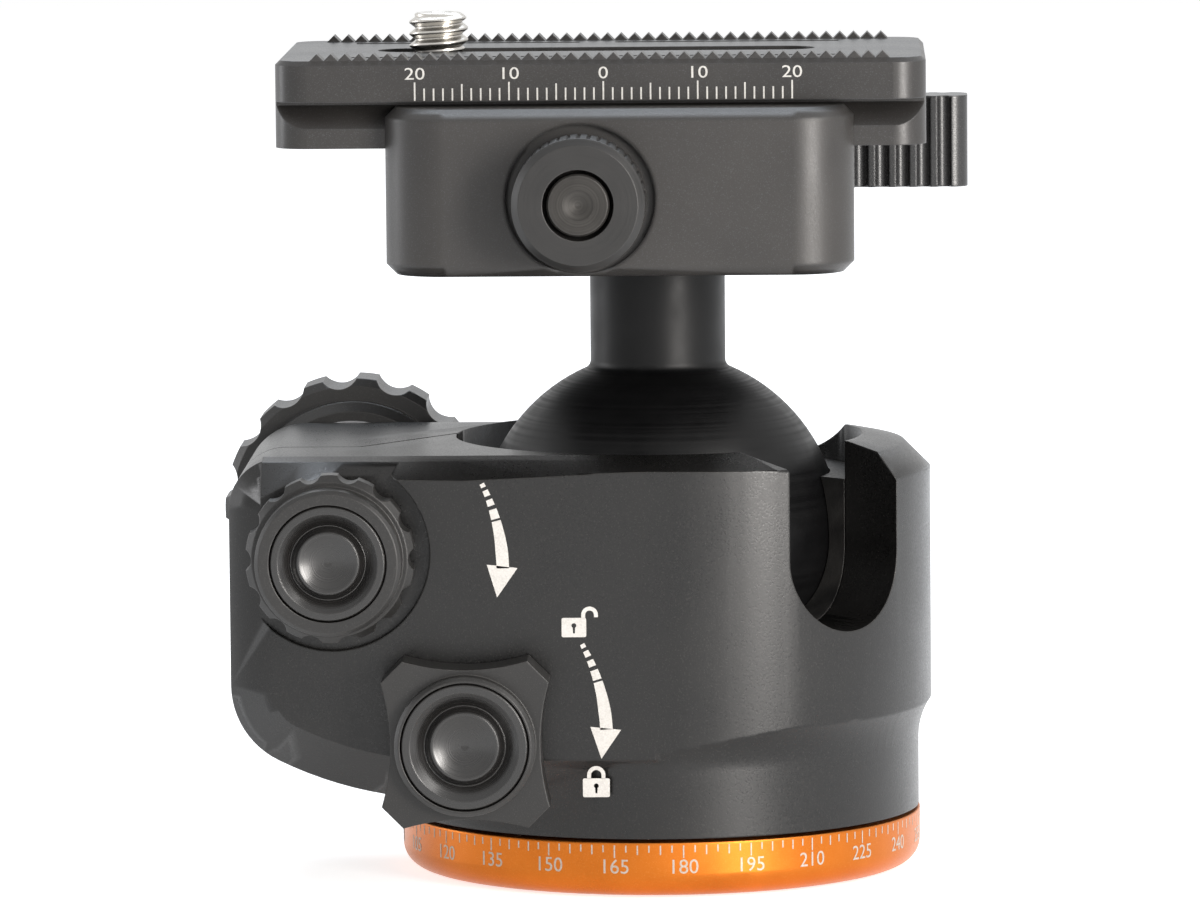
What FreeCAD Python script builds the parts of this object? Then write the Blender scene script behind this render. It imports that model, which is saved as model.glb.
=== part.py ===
"""Tripod ball head: panning base, split socket with a drop notch, lever clamp and plate.

Millimetres. The origin is the middle of the base's flat underside, on the pan axis. +X is to
the right of the front face, +Y goes away from it and +Z is up.
"""
import FreeCAD, Part
import math
import os
import Sketcher

SIZES = [
    ("base_radius", 28.1, "base ring, outside"),
    ("base_height", 5.9, "base ring"),
    ("base_round", 2.5, "base ring, lower edge"),
    ("bush_radius", 8.0, "tripod bush, body"),
    ("bush_rim_radius", 9.6, "tripod bush, flange"),
    ("bush_rim_height", 1.5, "tripod bush, flange"),
    ("tripod_thread_radius", 3.97, "tapped wall of the 3/8 in thread"),
    ("pad_inner_radius", 10.5, "friction pad, hole"),
    ("pad_outer_radius", 23.4, "friction pad, outside"),
    ("pad_thickness", 0.8, "friction pad"),
    ("fit_gap", 0.05, "radial gap of a running fit"),
    ("side_gap", 0.1, "gap between pieces that sit in each other"),
    ("turn_gap", 0.3, "gap between a turning piece and the face beside it"),
    ("pan_gap", 0.4, "gap between base ring and housing"),
    ("spindle_rim_radius", 15.6, "pan spindle, flange"),
    ("spindle_rim_height", 2.2, "pan spindle, flange"),
    ("spindle_radius", 9.0, "pan spindle, neck"),
    ("spindle_thread_radius", 7.0, "pan spindle, threaded end"),
    ("spindle_bore_radius", 5.0, "pan spindle, bore"),
    ("spindle_screw_circle", 12.4, "radius on which the spindle's screws sit"),
    ("spindle_screw_radius", 1.5, "spindle screw, shank"),
    ("spindle_screw_head_radius", 2.6, "spindle screw, head"),
    ("spindle_screw_head_height", 1.8, "spindle screw, head"),
    ("web_thickness", 4.0, "housing floor that turns on the spindle"),
    ("nut_radius", 13.0, "ring nut, outside"),
    ("nut_height", 2.6, "ring nut"),
    ("nut_notch_radius", 1.2, "ring nut, key notches"),
    ("thrust_inner_radius", 17.0, "thrust washer, hole"),
    ("thrust_outer_radius", 20.6, "thrust washer, outside"),
    ("ball_clearance", 1.15, "ball above the ring nut"),
    ("ball_radius", 19.6, "ball"),
    ("stem_radius", 7.3, "stem"),
    ("stem_fillet", 1.0, "foot of the stem"),
    ("stem_bore_radius", 3.05, "tapped wall for the clamp screw"),
    ("foot_radius", 28.0, "housing, lower cylinder"),
    ("foot_height", 7.2, "housing, lower cylinder"),
    ("cove_height", 4.5, "housing, cove between the two cylinders"),
    ("housing_radius", 29.4, "housing, upper cylinder"),
    ("housing_rise", 10.7, "housing, crest above the ball's middle"),
    ("rim_fall", 1.3, "housing, fall of the top towards the wall"),
    ("rim_edge", 0.4, "housing, small bevel of the rim"),
    ("rim_radius", 22.4, "housing, mouth of the socket"),
    ("front_face", 28.3, "housing, flat front from the pan axis"),
    ("front_flat_end", 2.0, "where the flat front turns into the round wall"),
    ("wing_end", 45.2, "housing, far end of the wing from the pan axis"),
    ("wing_back", 14.0, "housing, back of the wing from the pan axis"),
    ("wing_corner_radius", 9.0, "wing, lower corner"),
    ("wing_corner_height", 22.4, "wing, where the lower corner starts"),
    ("wing_belly_run", 23.0, "wing, reach of the curved underside"),
    ("wing_belly_height", 10.1, "wing, lowest part of the underside"),
    ("wing_top_round", 5.4, "wing, upper corner"),
    ("wing_facet", 4.8, "wing, facet beside the front"),
    ("wing_back_cut", 6.0, "wing, corner at the back"),
    ("top_slope_run", 6.4, "wing, depth of the sloped front of the top"),
    ("lobe_bevel_height", 3.6, "right lobe, height of the bevel"),
    ("lobe_bevel_width", 3.0, "right lobe, width of the bevel"),
    ("socket_radius", 22.0, "socket bore"),
    ("seat_floor_drop", 17.9, "socket floor below the middle of the ball"),
    ("nut_room_radius", 14.5, "bore below the socket floor"),
    ("notch_width", 16.0, "drop notch"),
    ("notch_arc_drop", 0.4, "middle of the notch's round end below the ball's middle"),
    ("slot_width", 0.3, "clamping slot"),
    ("slot_front", 12.0, "clamping slot from the pan axis, straight part"),
    ("slot_kink", 31.6, "clamping slot, where it turns to the socket"),
    ("slot_floor_drop", 15.4, "clamping slot, lower end below the ball's middle"),
    ("seat_height", 6.0, "lower seat"),
    ("seat_inner_radius", 13.5, "lower seat, hole"),
    ("seat_lift", 1.3, "lower seat above the socket floor"),
    ("disc_thickness", 0.5, "disc spring"),
    ("disc_inner_radius", 16.5, "disc spring, hole"),
    ("disc_outer_radius", 21.0, "disc spring, outside"),
    ("liner_bottom_drop", 9.9, "liner, lower end below the ball's middle"),
    ("liner_top_rise", 6.6, "liner, upper end above the ball's middle"),
    ("ball_gap", 0.1, "gap between ball and liner"),
    ("lock_x", 34.0, "lock knobs, distance to the left of the pan axis"),
    ("lock_rise", 1.0, "lock knobs, height above the ball's middle"),
    ("bolt_radius", 3.0, "draw bolt"),
    ("end_screw_y", 3.0, "end screw, distance behind the pan axis"),
    ("end_screw_radius", 2.0, "end screw"),
    ("end_screw_proud", 0.3, "end screw, part that stands out"),
    ("main_knob_radius", 14.3, "main knob, lobes"),
    ("main_collar_radius", 11.9, "main knob, collar"),
    ("main_collar_height", 2.2, "main knob, collar"),
    ("main_knob_height", 8.6, "main knob, lobed part"),
    ("main_knob_lobes", 15, "main knob"),
    ("main_knob_scallop", 2.3, "main knob, radius of each scallop"),
    ("main_cap_radius", 8.6, "main knob cap"),
    ("friction_flange_radius", 7.7, "friction knob, front"),
    ("friction_lobe_radius", 8.9, "friction knob, lobes"),
    ("friction_knob_height", 9.0, "friction knob"),
    ("friction_lobe_start", 1.4, "friction knob, back of the lobes"),
    ("friction_lobe_height", 4.0, "friction knob, lobed part"),
    ("friction_knob_lobes", 14, "friction knob"),
    ("friction_scallop", 1.35, "friction knob, radius of each scallop"),
    ("friction_cap_radius", 6.1, "friction knob cap"),
    ("cap_thickness", 2.2, "knob caps"),
    ("cap_recess", 1.3, "knob caps, groove round the middle"),
    ("cap_dish", 0.7, "knob caps, dished middle"),
    ("knob_relief", 0.7, "gap round the main knob where it sinks into the housing"),
    ("pan_x", 19.9, "pan knob, distance to the left of the pan axis"),
    ("pan_height", 17.4, "pan knob, height"),
    ("pan_tip_radius", 10.9, "pan knob, lobe tips"),
    ("pan_tip_width", 3.2, "pan knob, width of each tip"),
    ("pan_waist_radius", 7.9, "pan knob, hollow sides"),
    ("pan_hub_radius", 7.4, "pan knob, front"),
    ("pan_lobe_start", 0.8, "pan knob, back of the lobes"),
    ("pan_lobe_height", 5.6, "pan knob, lobed part"),
    ("pan_knob_height", 8.4, "pan knob"),
    ("pan_cap_radius", 6.7, "pan knob cap"),
    ("pan_screw_radius", 2.5, "pan screw"),
    ("pan_screw_reach", 0.6, "pan screw, tip in front of the brake plunger"),
    ("pan_screw_cone", 2.0, "pan screw, length of the cone"),
    ("brake_y", 14.0, "brake plunger, distance in front of the pan axis"),
    ("brake_head_radius", 2.6, "brake plunger, head"),
    ("brake_stem_radius", 1.6, "brake plunger, stem"),
    ("brake_lift", 0.45, "brake plunger above the base ring when free"),
    ("brake_head_start", 11.5, "brake plunger, underside of the head"),
    ("brake_cone_start", 14.4, "brake plunger, start of the cone"),
    ("brake_cone_height", 2.1, "brake plunger, cone"),
    ("brake_ledge", 8.6, "ledge under the brake spring"),
    ("spring_wire_radius", 0.22, "wire of the small springs"),
    ("brake_spring_turns", 2, "brake spring"),
    ("neck_length", 10.3, "stem between the ball's crest and the clamp"),
    ("clamp_height", 17.7, "clamp"),
    ("clamp_left", 28.4, "clamp, left end from the ball axis"),
    ("clamp_right", 21.3, "clamp, right end from the ball axis"),
    ("clamp_front", 25.0, "clamp, front from the ball axis"),
    ("clamp_back", 25.0, "clamp, back from the ball axis"),
    ("clamp_corner", 6.5, "clamp, upright corners"),
    ("clamp_edge", 1.1, "clamp, bevel of top and bottom"),
    ("clamp_channel_depth", 4.5, "clamp, channel"),
    ("jaw_front", 14.4, "sliding jaw, face towards the clamp body"),
    ("spigot_depth", 3.0, "stem in the clamp"),
    ("clamp_screw_radius", 3.0, "clamp screw, shank"),
    ("clamp_screw_length", 17.0, "clamp screw, shank"),
    ("clamp_screw_head_radius", 4.6, "clamp screw, head"),
    ("clamp_screw_head_height", 4.0, "clamp screw, head"),
    ("hex_radius", 2.6, "drive sockets"),
    ("rod_x", 7.6, "draw rod, distance to the left of the ball axis"),
    ("rod_rise", 8.2, "draw rod above the clamp's underside"),
    ("rod_radius", 2.2, "draw rod, middle"),
    ("rod_end_radius", 3.3, "draw rod, turned front end"),
    ("rod_end_length", 7.4, "draw rod, turned front end"),
    ("adjuster_radius", 7.0, "adjuster nut"),
    ("adjuster_face_radius", 6.3, "adjuster nut, face"),
    ("adjuster_height", 8.4, "adjuster nut"),
    ("adjuster_grooves", 40, "adjuster nut, knurl"),
    ("guide_pin_radius", 1.5, "guide pins"),
    ("guide_pin_left", 20.0, "left guide pin from the ball axis"),
    ("guide_pin_right", 12.5, "right guide pin from the ball axis"),
    ("guide_pin_rise", 5.7, "guide pins above the clamp's underside"),
    ("guide_pin_start", 2.0, "guide pins, inner end"),
    ("guide_pin_end", 23.0, "guide pins, outer end"),
    ("jaw_spring_radius", 2.5, "jaw springs, middle of the wire"),
    ("jaw_spring_pocket", 8.0, "jaw springs, inner end"),
    ("jaw_spring_turns", 5, "jaw springs"),
    ("lever_pin_radius", 1.2, "lever pin"),
    ("cam_radius", 6.0, "lever cam when shut"),
    ("cam_fall", 2.2, "how far the cam lets the jaw back"),
    ("cam_turn", 120.0, "lever, degrees from shut to open"),
    ("cam_back_wall", 0.6, "lever, back of the cam beyond its open contact"),
    ("lever_front_gap", 0.5, "lever, arm behind the cam's contact"),
    ("lever_shoulder", 2.0, "lever, where the cam runs into the arm, past the cam"),
    ("lever_tip_round", 2.0, "lever, round corners of the tip"),
    ("lever_rise", 5.5, "lever above the clamp's underside"),
    ("lever_height", 10.1, "lever"),
    ("lever_tip", 34.0, "lever, tip to the right of the ball axis"),
    ("lever_thickness", 6.4, "lever, arm"),
    ("lever_rib_pitch", 2.3, "lever, finger grooves"),
    ("lever_rib_radius", 0.8, "lever, finger grooves"),
    ("lever_rib_count", 5, "lever, finger grooves"),
    ("plate_left", 40.2, "plate, left end from the ball axis"),
    ("plate_right", 29.0, "plate, right end from the ball axis"),
    ("plate_half_width", 19.0, "plate, half of the width"),
    ("plate_height", 9.3, "plate"),
    ("plate_corner", 3.5, "plate, round upright corners"),
    ("plate_edge", 0.5, "plate, bevel of the upper edge"),
    ("flange_height", 2.1, "plate, upright side of the dovetail"),
    ("dovetail_rise", 2.4, "plate, sloped side of the dovetail"),
    ("groove_height", 4.9, "plate, upper end of the dovetail groove above the floor"),
    ("slide_gap", 0.1, "gap between plate and clamp"),
    ("screw_slot_left", 30.0, "plate, left end of the screw slot"),
    ("screw_slot_right", 17.2, "plate, right end of the screw slot"),
    ("screw_slot_width", 6.8, "plate, screw slot"),
    ("channel_width", 13.4, "plate, channel for the screw's head"),
    ("channel_depth", 4.9, "plate, channel for the screw's head"),
    ("tooth_pitch", 1.5, "plate, teeth"),
    ("tooth_count", 41, "plate, teeth in each band"),
    ("tooth_height", 0.75, "plate, teeth"),
    ("tooth_band_width", 3.0, "plate, tooth bands"),
    ("tooth_band_inset", 0.5, "plate, tooth bands from the edge"),
    ("inlay_width", 1.5, "grip strips"),
    ("inlay_depth", 0.8, "grip strips"),
    ("inlay_offset", 12.6, "grip strips from the middle of the plate"),
    ("inlay_length", 24.3, "grip strips"),
    ("inlay_left_start", 32.9, "left grip strips, outer end"),
    ("inlay_right_start", 4.6, "right grip strips, inner end"),
    ("stop_left", 36.8, "left stop screw from the ball axis"),
    ("stop_right", 25.2, "right stop screw from the ball axis"),
    ("stop_head_radius", 2.2, "stop screws, head"),
    ("stop_head_height", 0.6, "stop screws, head"),
    ("stop_shank_radius", 1.2, "stop screws, shank"),
    ("stop_shank_length", 3.0, "stop screws, shank"),
    ("camera_screw_x", 23.4, "camera screw, distance to the left of the ball axis"),
    ("camera_thread_radius", 3.175, "camera screw, 1/4 in thread"),
    ("camera_neck_radius", 2.9, "camera screw, relieved neck"),
    ("camera_screw_rise", 4.1, "camera screw above the plate"),
    ("camera_head_radius", 6.2, "camera screw, head"),
    ("camera_head_height", 3.2, "camera screw, head"),
    ("camera_washer_height", 0.5, "camera screw washer"),
]

doc = FreeCAD.newDocument("BallHead")
NODES = {}


class Size:
    """A length that carries its number and the sheet expression that gives it."""

    def __init__(self, value, text):
        self.value = value
        self.text = text

    def __add__(self, other):
        other = as_size(other)
        return Size(self.value + other.value, f"({self.text} + {other.text})")

    def __sub__(self, other):
        other = as_size(other)
        return Size(self.value - other.value, f"({self.text} - {other.text})")

    def __mul__(self, factor):
        factor = as_size(factor)
        return Size(self.value * factor.value, f"({self.text} * {factor.text})")

    def __truediv__(self, divisor):
        divisor = as_size(divisor)
        return Size(self.value / divisor.value, f"({self.text} / {divisor.text})")

    def __radd__(self, other):
        return as_size(other) + self

    def __rsub__(self, other):
        return as_size(other) - self

    def __neg__(self):
        return Size(-self.value, f"(0 - {self.text})")

    def root(self):
        return Size(math.sqrt(self.value), f"sqrt({self.text})")


class Sheet:
    """The spreadsheet's cells, read by their names."""

    def __init__(self, rows):
        self.cells = doc.addObject("Spreadsheet::Sheet", "Sizes")
        for row, (alias, value, note) in enumerate(rows, start=1):
            self.cells.set(f"A{row}", note)
            self.cells.set(f"B{row}", str(value))
            self.cells.setAlias(f"B{row}", alias)
        doc.recompute()

    def __getattr__(self, alias):
        return Size(float(getattr(self.cells, alias)), f"Sizes.{alias}")


def as_size(value):
    return value if isinstance(value, Size) else Size(float(value), f"{float(value):.6f}")


def number(value):
    return as_size(value).value


def bind(thing, prop, size):
    """Ties one property of an object to its sheet expression."""
    if isinstance(size, Size):
        thing.setExpression(prop, size.text)


dim = Sheet(SIZES)


# Sketches

def arc_between(start, end, radius):
    """The short arc from start to end; it turns left for a positive radius, else right."""
    chord = end - start
    middle = (start + end) * 0.5
    reach = math.sqrt(max(radius * radius - chord.Length * chord.Length / 4.0, 0.0))
    left = FreeCAD.Vector(-chord.y, chord.x, 0).normalize()
    centre = middle + left * (reach if radius > 0 else -reach)
    first, last = (start, end) if radius > 0 else (end, start)
    angles = [math.atan2(point.y - centre.y, point.x - centre.x) for point in (first, last)]
    if angles[1] < angles[0]:
        angles[1] += 2.0 * math.pi
    circle = Part.Circle(centre, FreeCAD.Vector(0, 0, 1), abs(radius))
    return Part.ArcOfCircle(circle, angles[0], angles[1])


def hold_point(sketch, curve, end, corner):
    """Fixes one end of a curve at a corner given by two sizes."""
    for kind, axis, value in (("DistanceX", -2, corner[0]), ("DistanceY", -1, corner[1])):
        if isinstance(value, Size):
            index = sketch.addConstraint(
                Sketcher.Constraint(kind, -1, 1, curve, end, value.value))
            sketch.setExpression(f"Constraints[{index}]", value.text)
        elif value == 0:
            sketch.addConstraint(Sketcher.Constraint("PointOnObject", curve, end, axis))
        else:
            sketch.addConstraint(Sketcher.Constraint(kind, -1, 1, curve, end, float(value)))


def draw_loop(sketch, corners):
    """A closed outline; a corner's third value is the radius of the arc that ends there."""
    points = [FreeCAD.Vector(number(corner[0]), number(corner[1]), 0) for corner in corners]
    ends = []
    for index, corner in enumerate(corners):
        start, end = points[index - 1], points[index]
        turn = corner[2] if len(corner) == 3 else None
        if turn is None:
            curve = sketch.addGeometry(Part.LineSegment(start, end))
            ends.append((curve, 1, 2))
            continue
        curve = sketch.addGeometry(arc_between(start, end, number(turn)))
        ends.append((curve, 1, 2) if number(turn) > 0 else (curve, 2, 1))
    for index, corner in enumerate(corners):
        curve, _, last = ends[index]
        following, first, _ = ends[(index + 1) % len(ends)]
        sketch.addConstraint(Sketcher.Constraint("Coincident", curve, last, following, first))
        hold_point(sketch, curve, last, corner)
    for index, corner in enumerate(corners):
        if len(corner) == 3:
            radius = as_size(corner[2])
            if radius.value < 0:
                radius = -radius
            held = sketch.addConstraint(Sketcher.Constraint("Radius", ends[index][0], radius.value))
            sketch.setExpression(f"Constraints[{held}]", radius.text)


def draw_circle(sketch, across, up, radius):
    """A circle about a point given by two sizes."""
    centre = FreeCAD.Vector(number(across), number(up), 0)
    curve = sketch.addGeometry(Part.Circle(centre, FreeCAD.Vector(0, 0, 1), number(radius)))
    hold_point(sketch, curve, 3, (across, up))
    held = sketch.addConstraint(Sketcher.Constraint("Radius", curve, number(radius)))
    bind(sketch, f"Constraints[{held}]", radius)


# Bodies and their features

def new_body(label):
    body = doc.addObject("PartDesign::Body", label)
    body.Label = label
    return body


def origin_part(body, role):
    return next(item for item in body.Origin.OriginFeatures if item.Role == role)


def new_sketch(body, role, height=0):
    """A sketch on one of the body's own planes, moved along the plane's normal."""
    sketch = body.newObject("Sketcher::SketchObject", f"{body.Name}_sketch")
    sketch.AttachmentSupport = [(origin_part(body, role), "")]
    sketch.MapMode = "FlatFace"
    offset = FreeCAD.Vector(0, 0, number(height))
    sketch.AttachmentOffset = FreeCAD.Placement(offset, FreeCAD.Rotation())
    bind(sketch, "AttachmentOffset.Base.z", height)
    return sketch


def turn(body, corners, feature="PartDesign::Revolution", angle=360.0):
    """Turns an outline of radius and height about the body's Z axis."""
    sketch = new_sketch(body, "XZ_Plane")
    draw_loop(sketch, corners)
    turned = body.newObject(feature, f"{body.Name}_turn")
    turned.Profile = sketch
    turned.ReferenceAxis = (sketch, ["V_Axis"])
    turned.Angle = angle
    return turned


def pad(body, sketch, length):
    raised = body.newObject("PartDesign::Pad", f"{body.Name}_pad")
    raised.Profile = sketch
    raised.Length = number(length)
    bind(raised, "Length", length)
    return raised


def pocket(body, sketch, depth):
    """Cuts from the sketch against its plane's normal."""
    cut = body.newObject("PartDesign::Pocket", f"{body.Name}_pocket")
    cut.Profile = sketch
    cut.Length = number(depth)
    bind(cut, "Length", depth)
    return cut


def pad_loop(body, role, corners, low, high):
    """Raises an outline between two heights along a plane's normal."""
    sketch = new_sketch(body, role, low)
    draw_loop(sketch, corners)
    return pad(body, sketch, as_size(high) - low)


def pocket_loop(body, role, corners, low, high):
    sketch = new_sketch(body, role, high)
    draw_loop(sketch, corners)
    return pocket(body, sketch, as_size(high) - low)


def pocket_circle(body, role, spot, radius, low, high):
    sketch = new_sketch(body, role, high)
    draw_circle(sketch, spot[0], spot[1], radius)
    return pocket(body, sketch, as_size(high) - low)


def around(body, feature, count):
    """Repeats a feature evenly about the body's Z axis."""
    pattern = body.newObject("PartDesign::PolarPattern", f"{body.Name}_round")
    pattern.Originals = [feature]
    pattern.Axis = (origin_part(body, "Z_Axis"), [""])
    pattern.Angle = 360.0
    pattern.Occurrences = int(number(count))
    bind(pattern, "Occurrences", count)
    body.Tip = pattern
    return pattern


def place(thing, across, depth, up, rotation=None):
    """Puts an object at three sizes, turned about its own origin."""
    base = FreeCAD.Vector(number(across), number(depth), number(up))
    thing.Placement = FreeCAD.Placement(base, rotation or FreeCAD.Rotation())
    for axis, size in (("x", across), ("y", depth), ("z", up)):
        bind(thing, f"Placement.Base.{axis}", size)


FORWARD = FreeCAD.Rotation(FreeCAD.Vector(1, 0, 0), 90)
BACKWARD = FreeCAD.Rotation(FreeCAD.Vector(1, 0, 0), -90)
TO_LEFT = FreeCAD.Rotation(FreeCAD.Vector(0, 1, 0), -90)


def ring_corners(inner, outer, low, high):
    return [(inner, low), (outer, low), (outer, high), (inner, high)]


def ring(label, inner, outer, low, high):
    """A plain turned ring or, with no hole, a disc."""
    body = new_body(label)
    turn(body, ring_corners(inner, outer, low, high))
    return body


def drill(label, radius, length, place_at, rotation):
    """A straight cutter or pin about its own Z axis."""
    rod = doc.addObject("Part::Cylinder", label)
    rod.Radius = number(radius)
    rod.Height = number(length)
    bind(rod, "Radius", radius)
    bind(rod, "Height", length)
    place(rod, *place_at, rotation)
    return rod


def fused(label, pieces):
    joined = doc.addObject("Part::MultiFuse", label)
    joined.Shapes = pieces
    return joined


def cut(label, base, tools):
    """One object less all its cutters."""
    tool = tools[0] if len(tools) == 1 else fused(f"{label}_tools", tools)
    result = doc.addObject("Part::Cut", label)
    result.Base = base
    result.Tool = tool
    return result


def common(label, pieces):
    shared = doc.addObject("Part::MultiCommon", label)
    shared.Shapes = pieces
    return shared


def edges_where(shape, wanted):
    """The names of the edges that pass a test."""
    return [f"Edge{index}" for index, edge in enumerate(shape.Edges, start=1) if wanted(edge)]


def dress(body, feature, kind, wanted, size):
    """Rounds or bevels the edges of a body's feature that pass a test."""
    doc.recompute()
    dressed = body.newObject(f"PartDesign::{kind}", f"{body.Name}_{kind.lower()}")
    dressed.Base = (feature, edges_where(feature.Shape, wanted))
    if kind == "Fillet":
        dressed.Radius = number(size)
        bind(dressed, "Radius", size)
    else:
        dressed.Size = number(size)
        bind(dressed, "Size", size)
    return dressed


def shaped(label, shape):
    """An object whose form comes from a formula."""
    made = doc.addObject("Part::Feature", label)
    made.Shape = shape
    return made


def node(name, thing):
    thing.Label = name
    NODES[name] = thing
    return thing


# Heights that several pieces share

housing_bottom = dim.base_height + dim.pan_gap
spindle_rim_top = dim.base_height + dim.spindle_rim_height
web_bottom = spindle_rim_top + dim.pan_gap
web_top = web_bottom + dim.web_thickness
nut_bottom = web_top + dim.fit_gap
ball_height = nut_bottom + dim.nut_height + dim.ball_clearance + dim.ball_radius
seat_floor = ball_height - dim.seat_floor_drop
housing_top = ball_height + dim.housing_rise
slot_floor = ball_height - dim.slot_floor_drop
lock_height = ball_height + dim.lock_rise
notch_arc_height = ball_height - dim.notch_arc_drop
clamp_bottom = ball_height + dim.ball_radius + dim.neck_length
clamp_top = clamp_bottom + dim.clamp_height
clamp_floor = clamp_top - dim.clamp_channel_depth
rod_height = clamp_bottom + dim.rod_rise
guide_pin_height = clamp_bottom + dim.guide_pin_rise
lever_bottom = clamp_bottom + dim.lever_rise
lever_top = lever_bottom + dim.lever_height
plate_top = clamp_floor + dim.slide_gap + dim.plate_height
pan_screw_tip = dim.brake_y + dim.pan_screw_reach


# Base and panning joint

def make_base_ring():
    body = new_body("base_ring_body")
    turn(body, [
        (dim.bush_radius + dim.side_gap, 0),
        (dim.base_radius - dim.base_round, 0),
        (dim.base_radius, dim.base_round, dim.base_round),
        (dim.base_radius, dim.base_height),
        (dim.bush_rim_radius + dim.side_gap, dim.base_height),
        (dim.bush_rim_radius + dim.side_gap, dim.base_height - dim.bush_rim_height),
        (dim.bush_radius + dim.side_gap, dim.base_height - dim.bush_rim_height),
    ])
    turn(body, ring_corners(dim.pad_inner_radius - dim.side_gap, dim.pad_outer_radius + dim.side_gap,
                            -1, dim.pad_thickness), "PartDesign::Groove")
    shank = pocket_circle(body, "XY_Plane", (dim.spindle_screw_circle, 0),
                          dim.spindle_screw_radius + dim.side_gap, 0, dim.base_height)
    around(body, shank, 3)
    head_top = dim.pad_thickness + dim.spindle_screw_head_height + dim.side_gap
    head = pocket_circle(body, "XY_Plane", (dim.spindle_screw_circle, 0),
                         dim.spindle_screw_head_radius + dim.side_gap, 0, head_top)
    around(body, head, 3)
    node("base_ring", body)


def make_tripod_bush():
    body = new_body("tripod_bush_body")
    rim_bottom = dim.base_height - dim.bush_rim_height
    turn(body, [
        (dim.tripod_thread_radius, 0),
        (dim.bush_radius, 0),
        (dim.bush_radius, rim_bottom),
        (dim.bush_rim_radius, rim_bottom),
        (dim.bush_rim_radius, dim.base_height),
        (dim.tripod_thread_radius, dim.base_height),
    ])
    node("tripod_bush", body)


def make_base_pad():
    node("base_pad", ring("base_pad_body", dim.pad_inner_radius, dim.pad_outer_radius,
                          0, dim.pad_thickness))


def make_pan_spindle():
    body = new_body("pan_spindle_body")
    turn(body, [
        (dim.spindle_bore_radius, dim.base_height),
        (dim.spindle_rim_radius, dim.base_height),
        (dim.spindle_rim_radius, spindle_rim_top),
        (dim.spindle_radius, spindle_rim_top),
        (dim.spindle_radius, nut_bottom),
        (dim.spindle_thread_radius, nut_bottom),
        (dim.spindle_thread_radius, nut_bottom + dim.nut_height),
        (dim.spindle_bore_radius, nut_bottom + dim.nut_height),
    ])
    hole = pocket_circle(body, "XY_Plane", (dim.spindle_screw_circle, 0),
                         dim.spindle_screw_radius + dim.side_gap, dim.base_height, spindle_rim_top)
    around(body, hole, 3)
    node("pan_spindle", body)


def make_spindle_screws():
    body = new_body("spindle_screw_body")
    head_top = dim.pad_thickness + dim.spindle_screw_head_height
    turn(body, [
        (0, dim.pad_thickness + dim.side_gap),
        (dim.spindle_screw_head_radius, dim.pad_thickness + dim.side_gap),
        (dim.spindle_screw_head_radius, head_top),
        (dim.spindle_screw_radius, head_top),
        (dim.spindle_screw_radius, spindle_rim_top - dim.side_gap),
        (0, spindle_rim_top - dim.side_gap),
    ])
    screws = []
    for index in range(3):
        angle = math.radians(120.0 * index)
        screw = body if index == 0 else doc.addObject("App::Link", f"spindle_screw_{index}")
        if index:
            screw.LinkedObject = body
            screw.LinkTransform = False
        place(screw, dim.spindle_screw_circle * math.cos(angle),
              dim.spindle_screw_circle * math.sin(angle), 0)
        screws.append(screw)
    group = doc.addObject("Part::Compound", "spindle_screw_group")
    group.Links = screws
    node("spindle_screws", group)


def make_retaining_nut():
    body = ring("retaining_nut_body", dim.spindle_thread_radius + dim.side_gap, dim.nut_radius,
                nut_bottom, nut_bottom + dim.nut_height)
    notch = pocket_circle(body, "XY_Plane", (dim.nut_radius, 0), dim.nut_notch_radius,
                          nut_bottom, nut_bottom + dim.nut_height)
    around(body, notch, 4)
    node("retaining_nut", body)


def make_thrust_washer():
    node("thrust_washer", ring("thrust_washer_body", dim.thrust_inner_radius,
                               dim.thrust_outer_radius, dim.base_height,
                               housing_bottom - dim.fit_gap))


# Housing

def housing_round():
    """The turned part of the housing, solid, with the bevel of its right lobe."""
    body = new_body("housing_round")
    cove_start = housing_bottom + dim.foot_height
    cove_end = cove_start + dim.cove_height
    cove_depth = dim.housing_radius - dim.foot_radius
    cove_radius = (cove_depth * cove_depth + dim.cove_height * dim.cove_height) / (cove_depth * 2)
    wall_top = housing_top - dim.rim_fall - dim.rim_edge
    turn(body, [
        (0, housing_bottom),
        (dim.foot_radius, housing_bottom),
        (dim.foot_radius, cove_start),
        (dim.housing_radius, cove_end, -cove_radius),
        (dim.housing_radius, wall_top),
        (dim.housing_radius - dim.rim_edge, wall_top + dim.rim_edge),
        (dim.rim_radius, housing_top),
        (0, housing_top),
    ])
    return body


def lobe_bevel():
    """A turned cutter for the broad bevel from the notch round to the back of the wing."""
    body = new_body("lobe_bevel")
    start = -45.0
    end = 145.0
    low = housing_top - dim.lobe_bevel_height
    turn(body, [
        (dim.housing_radius, low),
        (dim.housing_radius + 5, low),
        (dim.housing_radius + 5, housing_top + 1),
        (dim.housing_radius - dim.lobe_bevel_width, housing_top + 1),
        (dim.housing_radius - dim.lobe_bevel_width, housing_top - 0.6),
    ], angle=end - start)
    body.Placement = FreeCAD.Placement(
        FreeCAD.Vector(), FreeCAD.Rotation(FreeCAD.Vector(0, 0, 1), start))
    return body


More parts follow.
